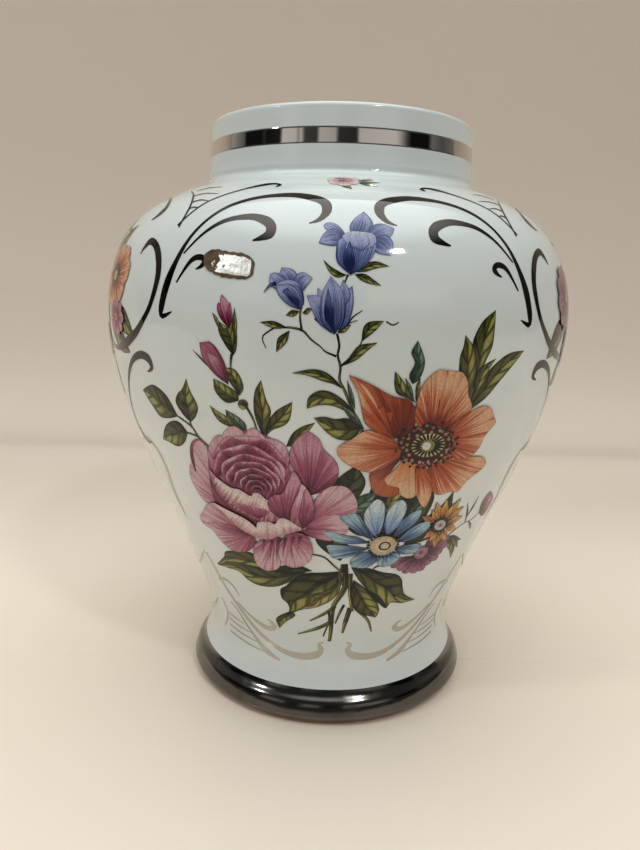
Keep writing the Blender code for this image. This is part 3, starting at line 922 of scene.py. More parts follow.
def draw_bell_leaves(p):
    """The bellflower stems that climb from the poppy, with their leaves."""
    p.strokes(
        GREEN,
        ([(-3.5, 196.4), (-2.5, 192), (-3, 188.4), (-1.8, 184), (-2, 179), (0, 175), (3, 168),
          (8, 157)], (0.9, 0.9, 1.0, 1.2, 1.2, 1.5)),
        ([(0, 217.8), (-1.5, 214), (-2, 210.6)], (0.8, 0.6, 0.5)),
        ([(-1.5, 184.4), (2, 188), (5.4, 193), (6, 196.4)], (0.9, 0.7, 0.4)),
        ([(14.4, 201.2), (17, 199.9), (19.2, 201)], (0.5, 0.6, 0.4)),
        ([(-3.5, 188), (-7.5, 189.6), (-9.4, 191.4), (-13, 194), (-16, 197), (-20, 198),
          (-24, 198)], (0.9, 0.5, 0.8, 0.9, 0.7)),
        ([(-16.4, 196.8), (-17.2, 202), (-16.8, 205.6)], (0.9, 0.8, 0.8)),
        ([(-27, 197.6), (-31.4, 194.2), (-30, 190)], (0.6, 0.6, 0.3)),
        ([(0, 199), (2, 202.4), (5.6, 205)], (0.4, 0.6, 0.3)),
        ([(0, 200), (3.8, 201.4)], (0.4, 0.3)),
    )
    p.petals(
        5, 0.8,
        (GREEN, (5.6, 193.6), [(6, 198.8), (8.4, 201)], (13.6, 201.4), [(10.4, 197.6)]),
        (GREEN, (-0.6, 184.6), [(2, 189), (5, 192.4)], (11.6, 193.4), [(8, 190.4), (4, 186.8)]),
        (GREEN, (-22, 198), [(-27, 200.2)], (-32.6, 199.6), [(-27, 197.4)]),
        (GREEN, (-21, 197), [(-25.4, 194)], (-26, 188.6), [(-22, 192.6)]),
        (GREEN, (-17.4, 204), [(-20.4, 204.4)], (-22.6, 202.4), [(-19.6, 202)]),
        (GREEN, (-16.4, 203.4), [(-14.6, 205.4)], (-12.8, 205), [(-14.6, 203)]),
        (GREEN, (-0.4, 217.6), [(-3, 218.7), (-6.5, 220.7)], (-9.2, 223.2),
         [(-7, 218.7), (-4, 216.6)]),
        (GREEN, (2.3, 218.8), [(5.5, 221.6), (10, 223)], (15.2, 221.2), [(11, 220.6), (6, 219)]),
        (GREEN, (2.3, 218), [(6, 218.2), (9, 216.4)], (12.2, 214), [(7, 214.8), (4, 216.3)]),
        (GREEN, (-4.6, 197), [(-8, 198.2)], (-12.2, 201.6), [(-8.6, 201.4), (-5.4, 199.4)]),
        (GREEN, (-3.4, 196.6), [(-1.6, 199.4)], (1.6, 199.8), [(-0.6, 197)]),
        (GREEN, (-0.5, 175.4), [(-4, 179.6), (-8, 182.2), (-13, 182.8)], (-20, 181),
         [(-14, 180.3), (-8, 178.3), (-4, 177.3)]),
        (GREEN, (5, 164.4), [(1, 170), (-4, 173.7), (-9, 174.7), (-13.4, 171.8)], (-14, 167),
         [(-10, 168.6), (-5, 168.8), (0, 167)]),
        (GREEN, (7.6, 160), [(2, 163.6), (-3, 163.2), (-7, 164)], (-11.2, 163.4),
         [(-6, 157.3), (-1, 154.3), (4, 155)]),
        (TEAL, (4.4, 167), [(1.8, 172.6)], (0.8, 179.2), [(3.6, 173)]),
        (TEAL, (8.4, 159), [(2.8, 163.2)], (-1.2, 169.2), [(4.8, 165.4)]),
        (GREEN, (28, 170), [(23.5, 172.3), (20, 174), (18.8, 178)], (18.8, 182.7),
         [(22.2, 179), (25.7, 173.4)]),
        (TEAL, (27.4, 170), [(24.4, 175)], (22.8, 180.4), [(26, 176)]),
        (GREEN, (28, 170), [(27.4, 176)], (29, 180.4), [(29.2, 175)]),
        (TEAL, (26, 177.6), [(24.4, 181), (26.4, 186), (24.6, 190)], (27, 194.4),
         [(30, 188), (30.2, 184), (28.6, 179.4)]),
    )


def draw_upper_leaves(p):
    """The tall leaves that rise behind the poppy on the right."""
    p.petals(
        6, 0.8,
        (GREEN, (53.4, 170), [(52.6, 186), (50.6, 193), (54.4, 201)], (61.2, 205.8),
         [(61.2, 197), (60.6, 191), (57.4, 184)]),
        (GREEN, (52, 168), [(46.4, 178), (45.2, 187), (46.4, 191.4)], (47, 196.4),
         [(51.2, 192), (53.2, 187), (53.7, 180)]),
        (GREEN, (50, 164), [(58, 179), (65, 185.6), (72, 188.7)], (80.8, 189.2),
         [(73, 182.3), (67, 176.8), (60, 170)]),
        (GREEN, (52, 166), [(54.4, 181), (58, 184.6)], (63.8, 186.8), [(60.6, 182.6), (58, 176)]),
    )


STEM_WEIGHT = 1.6


def draw_lower_leaves(p):
    """The sprays of leaves and bare stems under the blooms."""
    for path, widths, inks in (
        ([(4, 88), (5, 75), (3, 68), (0, 60), (-0.5, 45), (-1, 38.4)], (2.0, 1.6, 1.4, 1.0), GREEN),
        ([(1, 61), (-4, 56), (-10.6, 50.8)], (1.2, 1.1, 0.5), OLIVE),
        ([(0.4, 52), (-6, 47), (-16.2, 41.6)], (1.3, 1.3, 0.4), OLIVE),
        ([(-2, 58), (-1.5, 52), (-4, 41.4)], (0.8, 0.7, 0.4), GREEN),
        ([(5, 62), (3, 56), (1.4, 49.8)], (0.9, 0.8, 0.4), GREEN),
        ([(8, 60), (6.4, 52), (5, 43.8)], (1.6, 1.5, 0.7), GREEN),
        ([(7, 82), (7.4, 70), (8.4, 62), (9, 57.6)], (1.4, 1.2, 0.9), OLIVE),
        ([(12, 58), (17, 51), (19.2, 43.4)], (1.3, 1.0, 0.4), OLIVE),
    ):
        p.stroke(path, tuple(STEM_WEIGHT * width for width in widths), inks)
    p.petals(
        7, 0.85,
        (GREEN, (-10, 83), [(-18, 86.2), (-30, 82.4), (-38, 88.8), (-46, 88.2), (-54, 85.2),
                            (-56, 80.6)], (-62.2, 73.4), [(-52, 77.6), (-40, 77.8), (-22, 79)]),
        (GREEN, (-12, 82.4), [(-25, 81.4), (-40, 80.6), (-51, 79.6)], (-62, 73.2),
         [(-54, 74), (-47, 74.2), (-42, 70.4), (-36, 68.6), (-28, 69.8), (-21, 74), (-16, 79)]),
        (GREEN, (5, 84), [(-5, 82.4), (-13, 81.2), (-19, 76.2), (-22.2, 71.6), (-24.8, 69),
                          (-24.2, 63.4), (-21.2, 60), (-20.8, 55)], (-26.2, 47.8),
         [(-17.6, 55.6), (-12.6, 58.4), (-4.6, 62), (1.6, 70)]),
        (GREEN, (-19, 56), [(-23.2, 53.4), (-27.2, 49)], (-25.4, 43.2), [(-22, 48.4), (-17.6, 53)]),
        (OLIVE, (3, 79), [(-3.4, 71.4), (-9.6, 68.2), (-9.4, 64), (-14, 59.8)], (-16, 57.4),
         [(-8, 59.8), (-1, 64.8), (2.6, 71)]),
        (GREEN, (7, 86), [(15, 85), (22, 81.7), (29, 79.2), (32.2, 75), (33.2, 70), (35.2, 64.6)],
         (41.8, 59.3), [(34, 59.2), (28, 60.8), (25.4, 57.6), (21.6, 61.6), (15.6, 70.6),
                        (10.4, 78.6)]),
        (GREEN, (8.6, 78), [(7.3, 70), (8.8, 62), (12, 56.6)], (20.8, 52.4),
         [(22.2, 56.2), (21, 62), (17, 69.4)]),
        (BLACK, (13.4, 73), [(18.6, 64.6)], (26.2, 57.6), [(21.8, 66)]),
    )
    p.stroke([(-10.5, 93.5), (-5, 92), (-1, 87.4), (2.6, 83), (3.6, 80)], (0.8, 0.9, 1.1), GREEN)
    p.stroke([(3, 87), (2, 80), (4, 74)], (1.0, 0.8, 0.5), OLIVE)
    p.stroke([(6, 74), (4.6, 69), (2.4, 64.8)], (0.9, 0.7, 0.3), OLIVE)
    p.stroke([(20, 86), (18, 85.4), (16.4, 83)], (0.8, 0.8, 0.3), GREEN)


def draw_middle_leaves(p):
    """The dark leaves that fill the gaps between the blooms."""
    shaded = (GREEN[0], (0.022, 0.030, 0.016), (0.075, 0.085, 0.035))
    p.petals(
        6, 0.8,
        (shaded, (20, 104), [(8, 106), (2, 114)], (0.6, 124), [(8, 126), (18, 118)]),
        (shaded, (22, 100), [(14, 116), (12, 126)], (14, 136), [(22, 134), (30, 120)]),
        (shaded, (24, 100), [(24, 114), (28, 126)], (36, 132), [(42, 124), (36, 108)]),
        (shaded, (30, 98), [(36, 110), (46, 118)], (52, 126), [(52, 112), (44, 100)]),
        (shaded, (-2, 118), [(-4, 128), (-1, 136)], (6, 142.6), [(10.4, 134), (6, 124)]),
        (TEAL, (1, 118), [(4, 124), (10, 128)], (15.4, 129.4), [(13, 122), (8, 117.4)]),
        (shaded, (2, 90), [(-5, 96), (-9, 102)], (-8.6, 108), [(0, 104), (6, 98)]),
        (OLIVE, (18, 117), [(19, 124), (22, 129)], (27, 131.4), [(25.6, 126), (23, 120)]),
        (TEAL, (29, 113), [(30.6, 119), (34, 123.4)], (38.6, 124.6), [(37, 119), (33.6, 114)]),
    )


def draw_right_sprig(p):
    """The bare sprig on the right and its small leaves."""
    p.stroke([(55, 99), (62, 103), (65, 104), (70, 104.6), (76, 107.6)], (0.8, 0.5, 0.5), GREEN)
    p.stroke([(65, 104), (64.6, 110), (63, 117)], (0.6, 1.6, 0.3), GREEN)
    p.stroke([(65.2, 108), (68, 113.6), (70, 119.2)], (0.4, 1.5, 0.3), GREEN)
    p.stroke([(68, 104), (70.6, 100.6), (72.2, 97)], (0.5, 2.2, 0.3), GREEN)
    p.petals(
        4, 0.8,
        (GREEN, (53, 98), [(59.6, 97.4)], (66.6, 92), [(59, 93.4)]),
        (GREEN, (56, 98), [(62.4, 90)], (62, 80.3), [(58.6, 88)]),
        (GREEN, (56, 98.4), [(62.6, 94)], (65.4, 86.8), [(60, 91.6)]),
        (GREEN, (54, 97), [(58.8, 93)], (58.2, 87.6), [(55.4, 92)]),
    )


def draw_right_bud(p):
    """The mauve bud at the end of the right sprig."""
    p.petal((75, 107.4), [(74.4, 112), (76, 117)], (80.2, 119.4),
            [(86.2, 113), (84, 105), (80, 103.4)], MAUVE, 6, 0.8)
    p.petal((76.4, 107.6), [(79, 110.6), (80.6, 114)], (82, 117.2), [(83.6, 112), (80.6, 107.6)],
            ROSE, 4, 0.6)
    p.petal((75.4, 107.4), [(78, 107.8)], (84.6, 107.4), [(80, 104)],
            (MAUVE[0], MAUVE[0], MAUVE[1]), 4, 0.6)


# Shoulder sprigs, side posies, label and lustre scrolls -----------------------------------

def draw_sprig(p):
    """The spray of leaves behind the shoulder's small pink flower."""
    p.petals(
        5, 0.8,
        (GREEN, (4, 270), [(7, 273)], (12, 274), [(8, 270.6)]),
        (GREEN, (4, 269), [(8, 270)], (13.6, 269), [(8, 267.4)]),
        (GREEN, (4, 268), [(8, 267.6)], (12, 264.4), [(7, 265)]),
        (GREEN, (-3, 266), [(-2, 263)], (1.6, 260.6), [(1, 264)]),
    )


def draw_sprig_flower(p):
    """The pale pink flower of the shoulder sprig."""
    blush = ((0.42, 0.12, 0.15), (0.62, 0.38, 0.38), (0.74, 0.62, 0.58))
    for tip, wide in (((-1, 276.4), 2.9), ((-7.6, 273), 3.0), ((-7.2, 267), 2.8),
                      ((-1, 263.8), 2.9), ((4.6, 267.4), 2.8), ((4.6, 273.4), 2.8)):
        p.ray((-1.6, 270), tip, wide, blush, 0.12, 5, 0.7, 1.0)
    p.stroke([(-5, 272), (-2, 273.6), (1.6, 271.4), (0, 268.4), (-4, 268.6)],
             (0.4, 1.0, 0.7, 0.9, 0.4), ROSE_PALE)
    p.disc((-1.6, 270.4), 1.1, 0.9, ROSE)


def draw_posy(p):
    """The side posy: an orange bloom to its right, a mauve one to its left, a rose between."""
    p.wheel((0, 204), 25, 23, range(-20, 160, 36), 9.5, ROSE_PALE, 0.1, 9, 0.8, 1.0)
    p.wheel((0, 204), 24, 22, range(170, 350, 40), 9.0, ROSE, 0.1, 9, 0.8, 1.0)
    for reach, inks in ((15, ROSE_PALE), (11, ROSE), (7.5, ROSE_PALE), (4, ROSE_DARK)):
        first = int(reach * 9)
        p.wheel((0, 205), reach, reach, range(first, first + 360, 72), reach * 0.5, inks, 0.1, 5,
                0.8, 1.0)
    p.wheel((54, 215), 17, 14, range(8, 368, 45), 6.0, POPPY, 0.1, 7, 0.9, 1.0)
    p.disc((54, 215), 5.6, 4.8, BLACK)
    p.dots((54, 215), 6.2, 5.4, 18, 0.6, MAUVE, 0.1, 11)
    p.disc((54, 215), 2.8, 2.5, (OLIVE[1], (0.38, 0.32, 0.11), (0.62, 0.55, 0.30)), 12, 0.8)
    p.wheel((60, 197), 10, 8, range(0, 360, 40), 3.0, ROSE, 0.1, 5, 0.8, 0.9)
    p.disc((60, 197), 2.2, 2.0, YELLOW)
    p.wheel((-54, 210), 15.5, 15, range(10, 370, 36), 4.8, MAUVE, 0.1, 5, 0.9, 0.9)
    p.disc((-54, 210), 3.8, 3.5, (YELLOW[2], YELLOW[1], BLACK[1]), 12, 0.5)
    p.wheel((-35, 189), 14, 13, range(20, 380, 36), 4.0, BLUE, 0.15, 5, 0.8, 0.9)
    p.disc((-35, 189), 3.6, 3.4, (CREAM[2], CREAM[1], BLACK[1]), 14, 0.4)
    p.wheel((26, 184), 10, 9.6, range(0, 360, 40), 2.8, YELLOW, 0.2, 3, 0.8, 0.6)
    p.disc((26, 184), 2.6, 2.5, (CREAM[1], OLIVE[1], BLACK[1]))


def draw_posy_leaves(p):
    """Leaves and stems of a side posy."""
    p.petals(
        7, 0.85,
        (GREEN, (50, 204), [(58, 198), (66, 192)], (72, 182), [(60, 182), (48, 192)]),
        (GREEN, (60, 200), [(68, 202), (74, 198)], (79, 190), [(70, 190), (62, 194)]),
        (GREEN, (40, 222), [(40, 230), (46, 236)], (54, 239), [(52, 230), (46, 222)]),
        (TEAL, (22, 222), [(20, 232), (26, 238)], (36, 240), [(34, 230), (28, 222)]),
        (GREEN, (-12, 222), [(-14, 232), (-8, 240)], (0, 244), [(2, 234), (-4, 222)]),
        (OLIVE, (-26, 216), [(-34, 224), (-34, 232)], (-30, 240), [(-22, 232), (-20, 222)]),
        (GREEN, (-58, 202), [(-68, 200), (-74, 194)], (-76, 184), [(-66, 186), (-56, 194)]),
        (GREEN, (-38, 184), [(-48, 184), (-54, 178)], (-58, 170), [(-46, 170), (-36, 176)]),
        (GREEN, (-16, 188), [(-22, 178), (-22, 168)], (-16, 158), [(-8, 168), (-6, 182)]),
        (OLIVE, (8, 186), [(4, 174), (8, 164)], (16, 156), [(20, 168), (16, 180)]),
        (GREEN, (28, 180), [(36, 176), (40, 168)], (42, 158), [(32, 162), (26, 172)]),
        (GREEN, (14, 196), [(22, 206), (34, 208)], (44, 202), [(36, 192), (24, 190)]),
    )
    p.stroke([(0, 184), (-2, 168), (2, 154), (0, 140)], (1.6, 1.4, 1.2, 0.5), GREEN)
    p.stroke([(0, 166), (8, 154), (12, 146)], (1.2, 1.0, 0.4), OLIVE)
    p.stroke([(-1, 160), (-8, 150), (-14, 146)], (1.1, 0.9, 0.4), GREEN)


def draw_shoulder_scroll(p):
    """The platinum scroll from the bouquet's top corner round to the side panel."""
    p.strokes(
        BLACK,
        ([(16.4, 237.8), (12.8, 239.4), (10, 243.5), (10.5, 248.6), (15, 252), (24, 254.3),
          (38, 252), (53, 244.5), (66, 232), (75.5, 217), (80.3, 205), (80.6, 199.6),
          (74.6, 201.6)], (0.5, 3.8, 4.6, 3.6, 2.4, 1.9, 1.5, 1.3, 1.5, 2.4, 3.8, 3.4, 0.5)),
        ([(38, 230), (34.8, 231.0), (31.3, 232.9), (31, 236.6), (34.3, 239.5), (40.3, 240.8),
          (50, 239), (59.3, 233.5), (69.3, 224.5)], (0.6, 3.8, 4.4, 3.2, 2.3, 1.8, 1.3, 1.0, 0.8)),
        ([(62.6, 218.4), (60.2, 219.4), (58.4, 221.5), (60.4, 223.2), (65.3, 221.5), (72.3, 213)],
         (0.5, 2.4, 2.4, 1.7, 1.1, 0.8)),
        ([(30.4, 262.6), (28.8, 264.6), (32.5, 266), (41.5, 262.5), (55, 254.5), (65, 247),
          (75, 237)], (1.2, 2.4, 1.5, 1.1, 0.9, 0.9, 1.0)),
        ([(74, 236), (70.5, 248), (73, 258), (79, 264)], (0.8, 1.2, 1.4, 0.6)),
        ([(57, 265), (65, 265.4), (73, 263)], (0.4, 1.0, 1.0)),
        ([(57, 257), (65, 258.4), (71.6, 256.6)], (0.4, 1.0, 1.0)),
        ([(61, 251), (66, 252), (70.6, 250.4)], (0.4, 1.0, 1.0)),
        ([(65.4, 246.4), (68, 247), (70.6, 246)], (0.4, 0.8, 0.8)),
        ([(98.6, 224.4), (96, 227.2), (91, 230), (85.4, 226), (83.5, 216), (88, 204), (95, 196),
          (103, 190), (118, 184), (132, 183), (142, 188), (143, 194), (138, 195)],
          (0.5, 3.2, 4.0, 3.2, 2.4, 2.4, 3.4, 4.4, 3.6, 2.2, 1.8, 3.4, 0.6)),
        ([(97, 241), (93, 243), (88.4, 248.6), (92, 256), (100, 259.6), (112, 258), (121, 250),
          (124, 241), (120, 235), (116, 237)], (0.5, 3.2, 2.6, 1.5, 1.2, 1.2, 1.6, 2.8, 2.8, 0.6)),
        ([(93, 175.4), (89.4, 177.4), (92, 181.4), (99, 182), (108, 177.4), (116, 167), (120, 154),
          (117, 144), (108, 138), (101, 139)], (0.6, 3.8, 3.4, 2.4, 1.8, 1.5, 1.5, 1.8, 2.6, 0.6)),
    )


def draw_foot_scroll(p):
    """The scroll that frames the stems above the foot band, its platinum painted paler: a painted
    reflection of the floor.
    """
    p.strokes(
        BLACK,
        ([(5.4, 37.6), (7.6, 36.4), (6.4, 32.8), (9.4, 29.6), (18, 28.3), (28, 30.5), (40, 38),
          (52, 50), (62, 62), (72, 78)], (0.6, 4.0, 3.2, 2.4, 2.2, 2.1, 2.2, 2.4, 2.4, 1.4)),
        ([(33.6, 47.2), (31.2, 45.8), (30, 43), (34, 41.4), (42, 45), (52, 52)],
         (0.6, 3.2, 2.8, 1.9, 1.5, 1.1)),
        ([(50, 57), (54, 62.6), (60, 64.6), (64.6, 62)], (0.5, 1.3, 1.9, 2.6)),
        ([(27, 24.2), (31, 25.6), (37, 29), (45, 37), (52, 46), (57, 50)],
         (1.2, 2.8, 1.8, 1.4, 1.2, 1.0)),
        ([(65, 49), (61.6, 42), (62, 36), (66, 29)], (0.9, 1.6, 1.8, 0.6)),
        ([(36, 26.4), (47, 27.4), (60, 29)], (0.5, 1.1, 1.1)),
        ([(40, 30.4), (50, 31.4), (60, 33)], (0.5, 1.1, 1.1)),
        ([(44, 34.6), (52, 35.4), (60, 37)], (0.5, 1.1, 1.1)),
        ([(48, 38.6), (54, 39.6), (60, 41)], (0.5, 1.1, 1.1)),
        ([(84, 98), (90, 112), (92.4, 126), (98, 136), (108, 140), (118, 136)],
         (0.6, 2.6, 3.2, 2.4, 1.6, 0.6)),
        ([(70, 46), (75, 40), (83, 34), (92, 32), (97, 35), (95, 39)],
         (0.9, 1.6, 1.6, 1.8, 3.0, 0.6)),
        ([(74, 78), (84, 66), (94, 60), (104, 60), (108, 65), (104, 68)],
         (0.9, 1.6, 1.6, 1.9, 3.0, 0.6)),
    )


def label_foil():
    """Crinkled silver foil with a printed frame, worn through to brown at its left end."""
    n = Finish("label_foil")
    along, _, rim = n.parts(n.attribute("place", "Vector"))
    crinkle = n.noise(330, 3)
    blotch = n.noise(420, 4)
    reach = n.line(n.less(blotch, 0.5), 0.9, along)
    worn = n.step(reach, 0.36, 0.28)
    near = n.line(n.less(blotch, 0.5), 1.6, rim)
    frame_line = n.step(near, 1.5, 1.2)
    colour = n.mix(crinkle, (0.72, 0.68, 0.60, 1), (0.92, 0.91, 0.87, 1))
    brown = n.mix(crinkle, (0.05, 0.028, 0.013, 1), (0.20, 0.125, 0.065, 1))
    marked = n.math("MAXIMUM", worn, frame_line)
    colour = n.mix(marked, colour, brown)
    n.bump(crinkle, 0.0004, 0.6)
    rough = n.line(marked, 0.20, 0.42)
    return n.finish(colour, rough, metallic=n.line(marked, -0.3, 0.75))


# The label's middle, half sizes and thickness are in millimetres, its lean in degrees
LABEL_PLACE = (-46, 220.6)
LABEL_HALF_LENGTH = 11.0
LABEL_HALF_WIDTH = 5.0
LABEL_LEAN = -9
LABEL_LIFT = 0.30
LABEL_THICKNESS = 0.12


def make_label():
    """The small foil sticker, blank, crinkled and ragged along its edges."""
    half, tall = LABEL_HALF_LENGTH, LABEL_HALF_WIDTH
    columns, rows = 61, 27
    u, v = np.meshgrid(np.linspace(-1, 1, columns), np.linspace(-1, 1, rows))
    ragged = 0.35 * np.sin(4.3 * u + 2.1) * np.sin(3.1 * v + 0.7) + 0.15 * np.sin(17 * u + 5 * v)
    bow = 1 - 0.16 * v**4 - 0.03 * v**2
    c, s = math.cos(math.radians(LABEL_LEAN)), math.sin(math.radians(LABEL_LEAN))
    x = half * u * bow + ragged * abs(u) ** 3
    y = v * tall * (1 - 0.22 * u**6 - 0.10 * (u < 0) * u**2) + ragged * abs(v) ** 3
    corner = np.clip((abs(u) - 0.75) / 0.25, 0, 1) * np.clip((abs(v) - 0.6) / 0.4, 0, 1)
    crease = 0.05 * np.sin(5 * u + 3 * v) * np.sin(7 * v - 2 * u + 1)
    lift = (LABEL_LIFT + crease + 0.35 * corner * (u < 0)).ravel()
    flat_x = (LABEL_PLACE[0] + x * c - y * s).ravel()
    flat_y = (LABEL_PLACE[1] + x * s + y * c).ravel()
    top = on_vase(flat_x, flat_y, lift, 0)
    under = on_vase(flat_x, flat_y, lift - LABEL_THICKNESS, 0)
    index = np.arange(rows * columns).reshape(rows, columns)
    corners = [index[:-1, :-1], index[:-1, 1:], index[1:, 1:], index[1:, :-1]]
    quads = np.stack(corners, -1).reshape(-1, 4)
    rim = np.concatenate([index[0], index[1:, -1], index[-1, -2::-1], index[-2:0:-1, 0]])
    after = np.roll(rim, -1)
    total = rows * columns
    sides = np.stack([rim, rim + total, after + total, after], -1)
    faces = np.vstack([quads, quads[:, ::-1] + total, sides])
    mesh = bpy.data.meshes.new("foil_sticker")
    mesh.from_pydata(np.vstack([top, under]).tolist(), [], faces.tolist())
    edge = np.minimum(half * (1 - abs(u)), tall * (1 - abs(v)))
    place = np.stack([u * 0.5 + 0.5, v * 0.5 + 0.5, edge], -1).reshape(-1, 3)
    data = mesh.attributes.new("place", "FLOAT_VECTOR", "POINT").data
    data.foreach_set("vector", np.vstack([place, place]).astype(np.float32).ravel())
    finish_piece("foil_sticker", mesh, label_foil(), "label_foil", "foil_label")


# Laying the prints on the vase ------------------------------------------------------------

# Each scroll sits this much to the right of its drawing
SCROLL_SHIFT = 1.7


def lay_bouquet(side, turn, mirrored, slot, node):
    """Every print of one bouquet; the first of them hides the whole CAD film."""
    for name, level, draw, finish in (
        ("rose", 0.26, draw_rose, PETAL),
        ("left_leaves", 0.0, draw_left_leaves, LEAF),
        ("bell_leaves", 0.0, draw_bell_leaves, LEAF),
        ("upper_leaves", 0.0, draw_upper_leaves, LEAF),
        ("lower_leaves", 0.0, draw_lower_leaves, LEAF),
        ("middle_leaves", 0.12, draw_middle_leaves, LEAF),
        ("right_sprig", 0.0, draw_right_sprig, LEAF),
        ("right_bud", 0.06, draw_right_bud, PETAL),
        ("rosebuds", 0.14, draw_bud_petals, PETAL),
        ("bellflowers", 0.16, draw_bells, PETAL),
        ("small_daisies", 0.22, draw_small_daisies, PETAL),
        ("blue_daisy", 0.34, draw_blue_daisy, PETAL),
        ("poppy", 0.40, draw_poppy, PETAL),
    ):
        p = Print(f"{side}_{name}", turn, mirrored=mirrored, level=level, soft=finish is PETAL)
        draw(p)
        p.make(finish, slot, *([node] if draw is draw_rose else []))


lay_bouquet("front", 0, False, "bouquet_enamel", "front_bouquet_transfer")
lay_bouquet("back", 180, True, "bouquet_enamel", "back_bouquet_transfer")
for side, turn in (("front", 0), ("back", 180)):
    p = Print(f"{side}_sprig_leaves", turn, soft=False)
    draw_sprig(p)
    p.make(LEAF, "posy_enamel", f"{side}_sprig_transfer")
    p = Print(f"{side}_sprig_flower", turn, level=0.08)
    draw_sprig_flower(p)
    p.make(PETAL, "posy_enamel")
    for hand, mirrored in (("left", True), ("right", False)):
        for part, draw, finish in (
            ("shoulder", draw_shoulder_scroll, SCROLL_METAL_PAINTED_DARK),
            ("foot", draw_foot_scroll, SCROLL_METAL_PAINTED_PALE),
        ):
            node = f"{side}_{hand}_{part}_scroll"
            p = Print(node + "_lustre", turn, mirrored=mirrored,
                      shift=-SCROLL_SHIFT if mirrored else SCROLL_SHIFT)
            draw(p)
            p.make(finish, "scroll_lustre", node)
for hand, turn in (("left", -90), ("right", 90)):
    p = Print(f"{hand}_posy_leaves", turn, soft=False)
    draw_posy_leaves(p)
    p.make(LEAF, "posy_enamel", f"{hand}_posy_transfer")
    p = Print(f"{hand}_posy_flowers", turn, level=0.12)
    draw_posy(p)
    p.make(PETAL, "posy_enamel")
make_label()


# Studio ----------------------------------------------------------------------------------

# The camera looks slightly down on the front, a little left of the bouquet's middle
CAMERA_DISTANCE = 371.5
CAMERA_HEIGHT = 209.3
CAMERA_AROUND = math.radians(-2.0)
CAMERA_DOWN = 0.2106
CAMERA_ASIDE = 0.0189
CAMERA_ROLL = 0.0262
LENS = 29.6


def make_camera():
    camera_data = bpy.data.cameras.new("camera")
    camera_data.lens = LENS
    camera_data.sensor_width = 36
    camera_data.clip_start = 0.01
    camera = bpy.data.objects.new("camera", camera_data)
    bpy.context.scene.collection.objects.link(camera)
    camera.matrix_world = (
        Matrix.Rotation(CAMERA_AROUND, 4, "Z")
        @ Matrix.Translation(Vector((0, -CAMERA_DISTANCE, CAMERA_HEIGHT)) * MM)
        @ Matrix.Rotation(CAMERA_ASIDE, 4, "Z")
        @ Matrix.Rotation(math.pi / 2 - CAMERA_DOWN, 4, "X")
        @ Matrix.Rotation(CAMERA_ROLL, 4, "Z")
    )
    bpy.context.scene.camera = camera


def make_light(name, place, size, power):
    light_data = bpy.data.lights.new(name, "AREA")
    light_data.shape = "RECTANGLE"
    light_data.size, light_data.size_y = size
    light_data.energy = power
    light_data.color = LAMP_COLOUR
    light = bpy.data.objects.new(name, light_data)
    light.location = place
    light.rotation_euler = (Vector(LAMP_AIM) - Vector(place)).to_track_quat("-Z", "Y").to_euler()
    bpy.context.scene.collection.objects.link(light)


# Tall light and dark strips around the room: direction in degrees from the front, brightness
STRIPS = (
    (-180, 0.4), (-112, 0.36), (-100, 0.176), (-92, 0.096), (-90, 0.0072), (-72, 0.006),
    (-70, 0.03), (-68, 0.006), (-54, 0.012), (-52, 0.504), (-40, 0.462), (-38, 0.21),
    (-36, 0.504), (-33, 0.048), (-22, 0.036), (-20, 0.42), (-7, 0.353), (-5, 0.03),
    (11, 0.024), (13, 0.462), (44, 0.521), (54, 0.06), (58, 0.0048), (76, 0.006),
    (80, 0.132), (92, 0.072), (106, 0.128), (150, 0.272),
)

# What lies above the floor, by how far up a direction points (0 level, 1 overhead): the dim
# foot of the room, the strips, the walls and the ceiling
STRIPS_START = (0.12, 0.18)
WALLS_START = (0.30, 0.44)
CEILING_START = (0.72, 0.95)
FRONT_TO_BACK = (-0.3, 0.6)
DIM = (0.06, 0.06, 0.056, 1)
FRONT_WALL = (0.07, 0.072, 0.066, 1)
BACK_WALL = (0.30, 0.31, 0.295, 1)
CEILING = (2.36, 2.50, 2.48, 1)
BACKDROP = (0.46, 0.40, 0.33, 1)


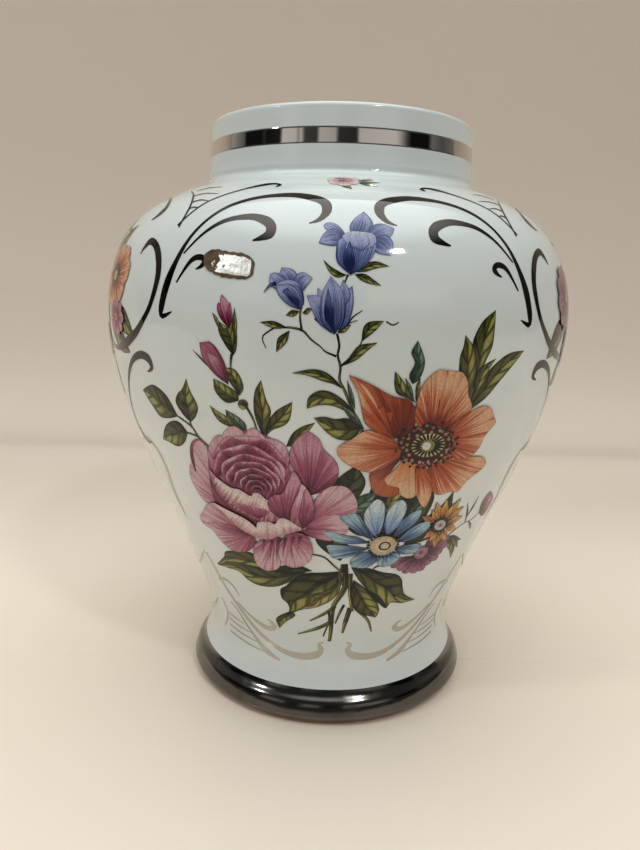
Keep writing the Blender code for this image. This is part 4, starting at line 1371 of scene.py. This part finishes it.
def make_world():
    """The room the glaze reflects: bright overhead, dim in front with tall strips."""
    world = bpy.data.worlds.new("studio_world")
    world.use_nodes = True
    n = Nodes(world.node_tree)
    way_x, way_y, way_z = n.parts(n.add("ShaderNodeTexCoord").outputs["Generated"])
    turn = n.math("ARCTAN2", way_x, n.times(way_y, -1))
    strips = n.add("ShaderNodeValToRGB")
    n.put(strips.inputs[0], n.step(turn, -math.pi, math.pi, "LINEAR"))
    ramp = strips.color_ramp.elements
    ramp.remove(ramp[1])
    for number, (degrees, level) in enumerate(STRIPS):
        at = (degrees + 180) / 360
        element = ramp[0] if number == 0 else ramp.new(at)
        element.position = at
        element.color = (level, 0.95 * level, 0.90 * level, 1)
    walls = n.mix(n.step(way_y, *FRONT_TO_BACK), FRONT_WALL, BACK_WALL)
    colour = n.mix(n.step(way_z, *STRIPS_START), DIM, strips.outputs["Color"])
    colour = n.mix(n.step(way_z, *WALLS_START), colour, walls)
    colour = n.mix(n.step(way_z, *CEILING_START), colour, CEILING)
    seen = n.add("ShaderNodeLightPath").outputs["Is Camera Ray"]
    n.put(n.tree.nodes["Background"].inputs["Color"], n.mix(seen, colour, BACKDROP))
    bpy.context.scene.world = world


# The floor that sweeps up into the wall behind the vase: its section, (depth, height) in metres
SWEEP = [(-1.6, 0), (0.15, 0), (0.42, 0.04), (0.52, 0.22), (0.54, 0.6), (0.54, 1.6)]
SWEEP_HALF_WIDTH = 1.8
FLOOR = ((0.93, 0.80, 0.68, 1), (0.96, 0.83, 0.705, 1))
FLOOR_BEHIND = (0.82, 0.70, 0.60, 1)
# Out of view in front of the camera the floor is painted dark: painted shade of the dim front of
# the room, for the glaze and bands to reflect
FLOOR_PAINTED_DIM_IN_FRONT = (0.24, 0.205, 0.17, 1)
BEHIND_ZONE = (0.04, 0.34)
FRONT_ZONE = (-0.26, -0.56)
MATT_ZONE = (-0.05, 0.12)

# Lamps: place, size (metres) and power (watts)
LAMPS = {
    "right_lamp": ((0.57, -0.98, 1.2), (0.13, 0.085), 3.6),
    "left_lamp": ((-1.03, -0.56, 0.92), (0.12, 0.085), 2.6),
}
LAMP_AIM = (0, -0.05, 0.2)
LAMP_COLOUR = (0.95, 1.0, 0.99)


def make_studio():
    """A pale sweep behind the vase and two small lamps in front, under a bright ceiling."""
    section = flow(SWEEP, 10)
    mesh = bpy.data.meshes.new("studio_sweep")
    points = [(side * SWEEP_HALF_WIDTH, y, z) for y, z in section for side in (-1, 1)]
    faces = [(2 * i, 2 * i + 1, 2 * i + 3, 2 * i + 2) for i in range(len(section) - 1)]
    mesh.from_pydata(points, [], faces)
    mesh.shade_smooth()
    n = Finish("pale_sweep")
    depth = n.parts(n.coordinates())[1]
    colour = n.mix(n.step(depth, *BEHIND_ZONE), n.mix(n.noise(9, 3), *FLOOR), FLOOR_BEHIND)
    # Painted shade: the floor in front, out of view, is darkened so the vase reflects and receives
    # a dim front
    colour = n.mix(n.step(depth, *FRONT_ZONE), colour, FLOOR_PAINTED_DIM_IN_FRONT)
    polish = n.line(n.step(depth, *MATT_ZONE), 0.38, 0.22)
    mesh.materials.append(n.finish(colour, polish))
    floor = bpy.data.objects.new("studio_sweep", mesh)
    bpy.context.scene.collection.objects.link(floor)
    for name, (place, size, power) in LAMPS.items():
        make_light(name, place, size, power)
    make_world()
    bpy.context.scene.view_settings.view_transform = "Standard"


make_camera()
make_studio()
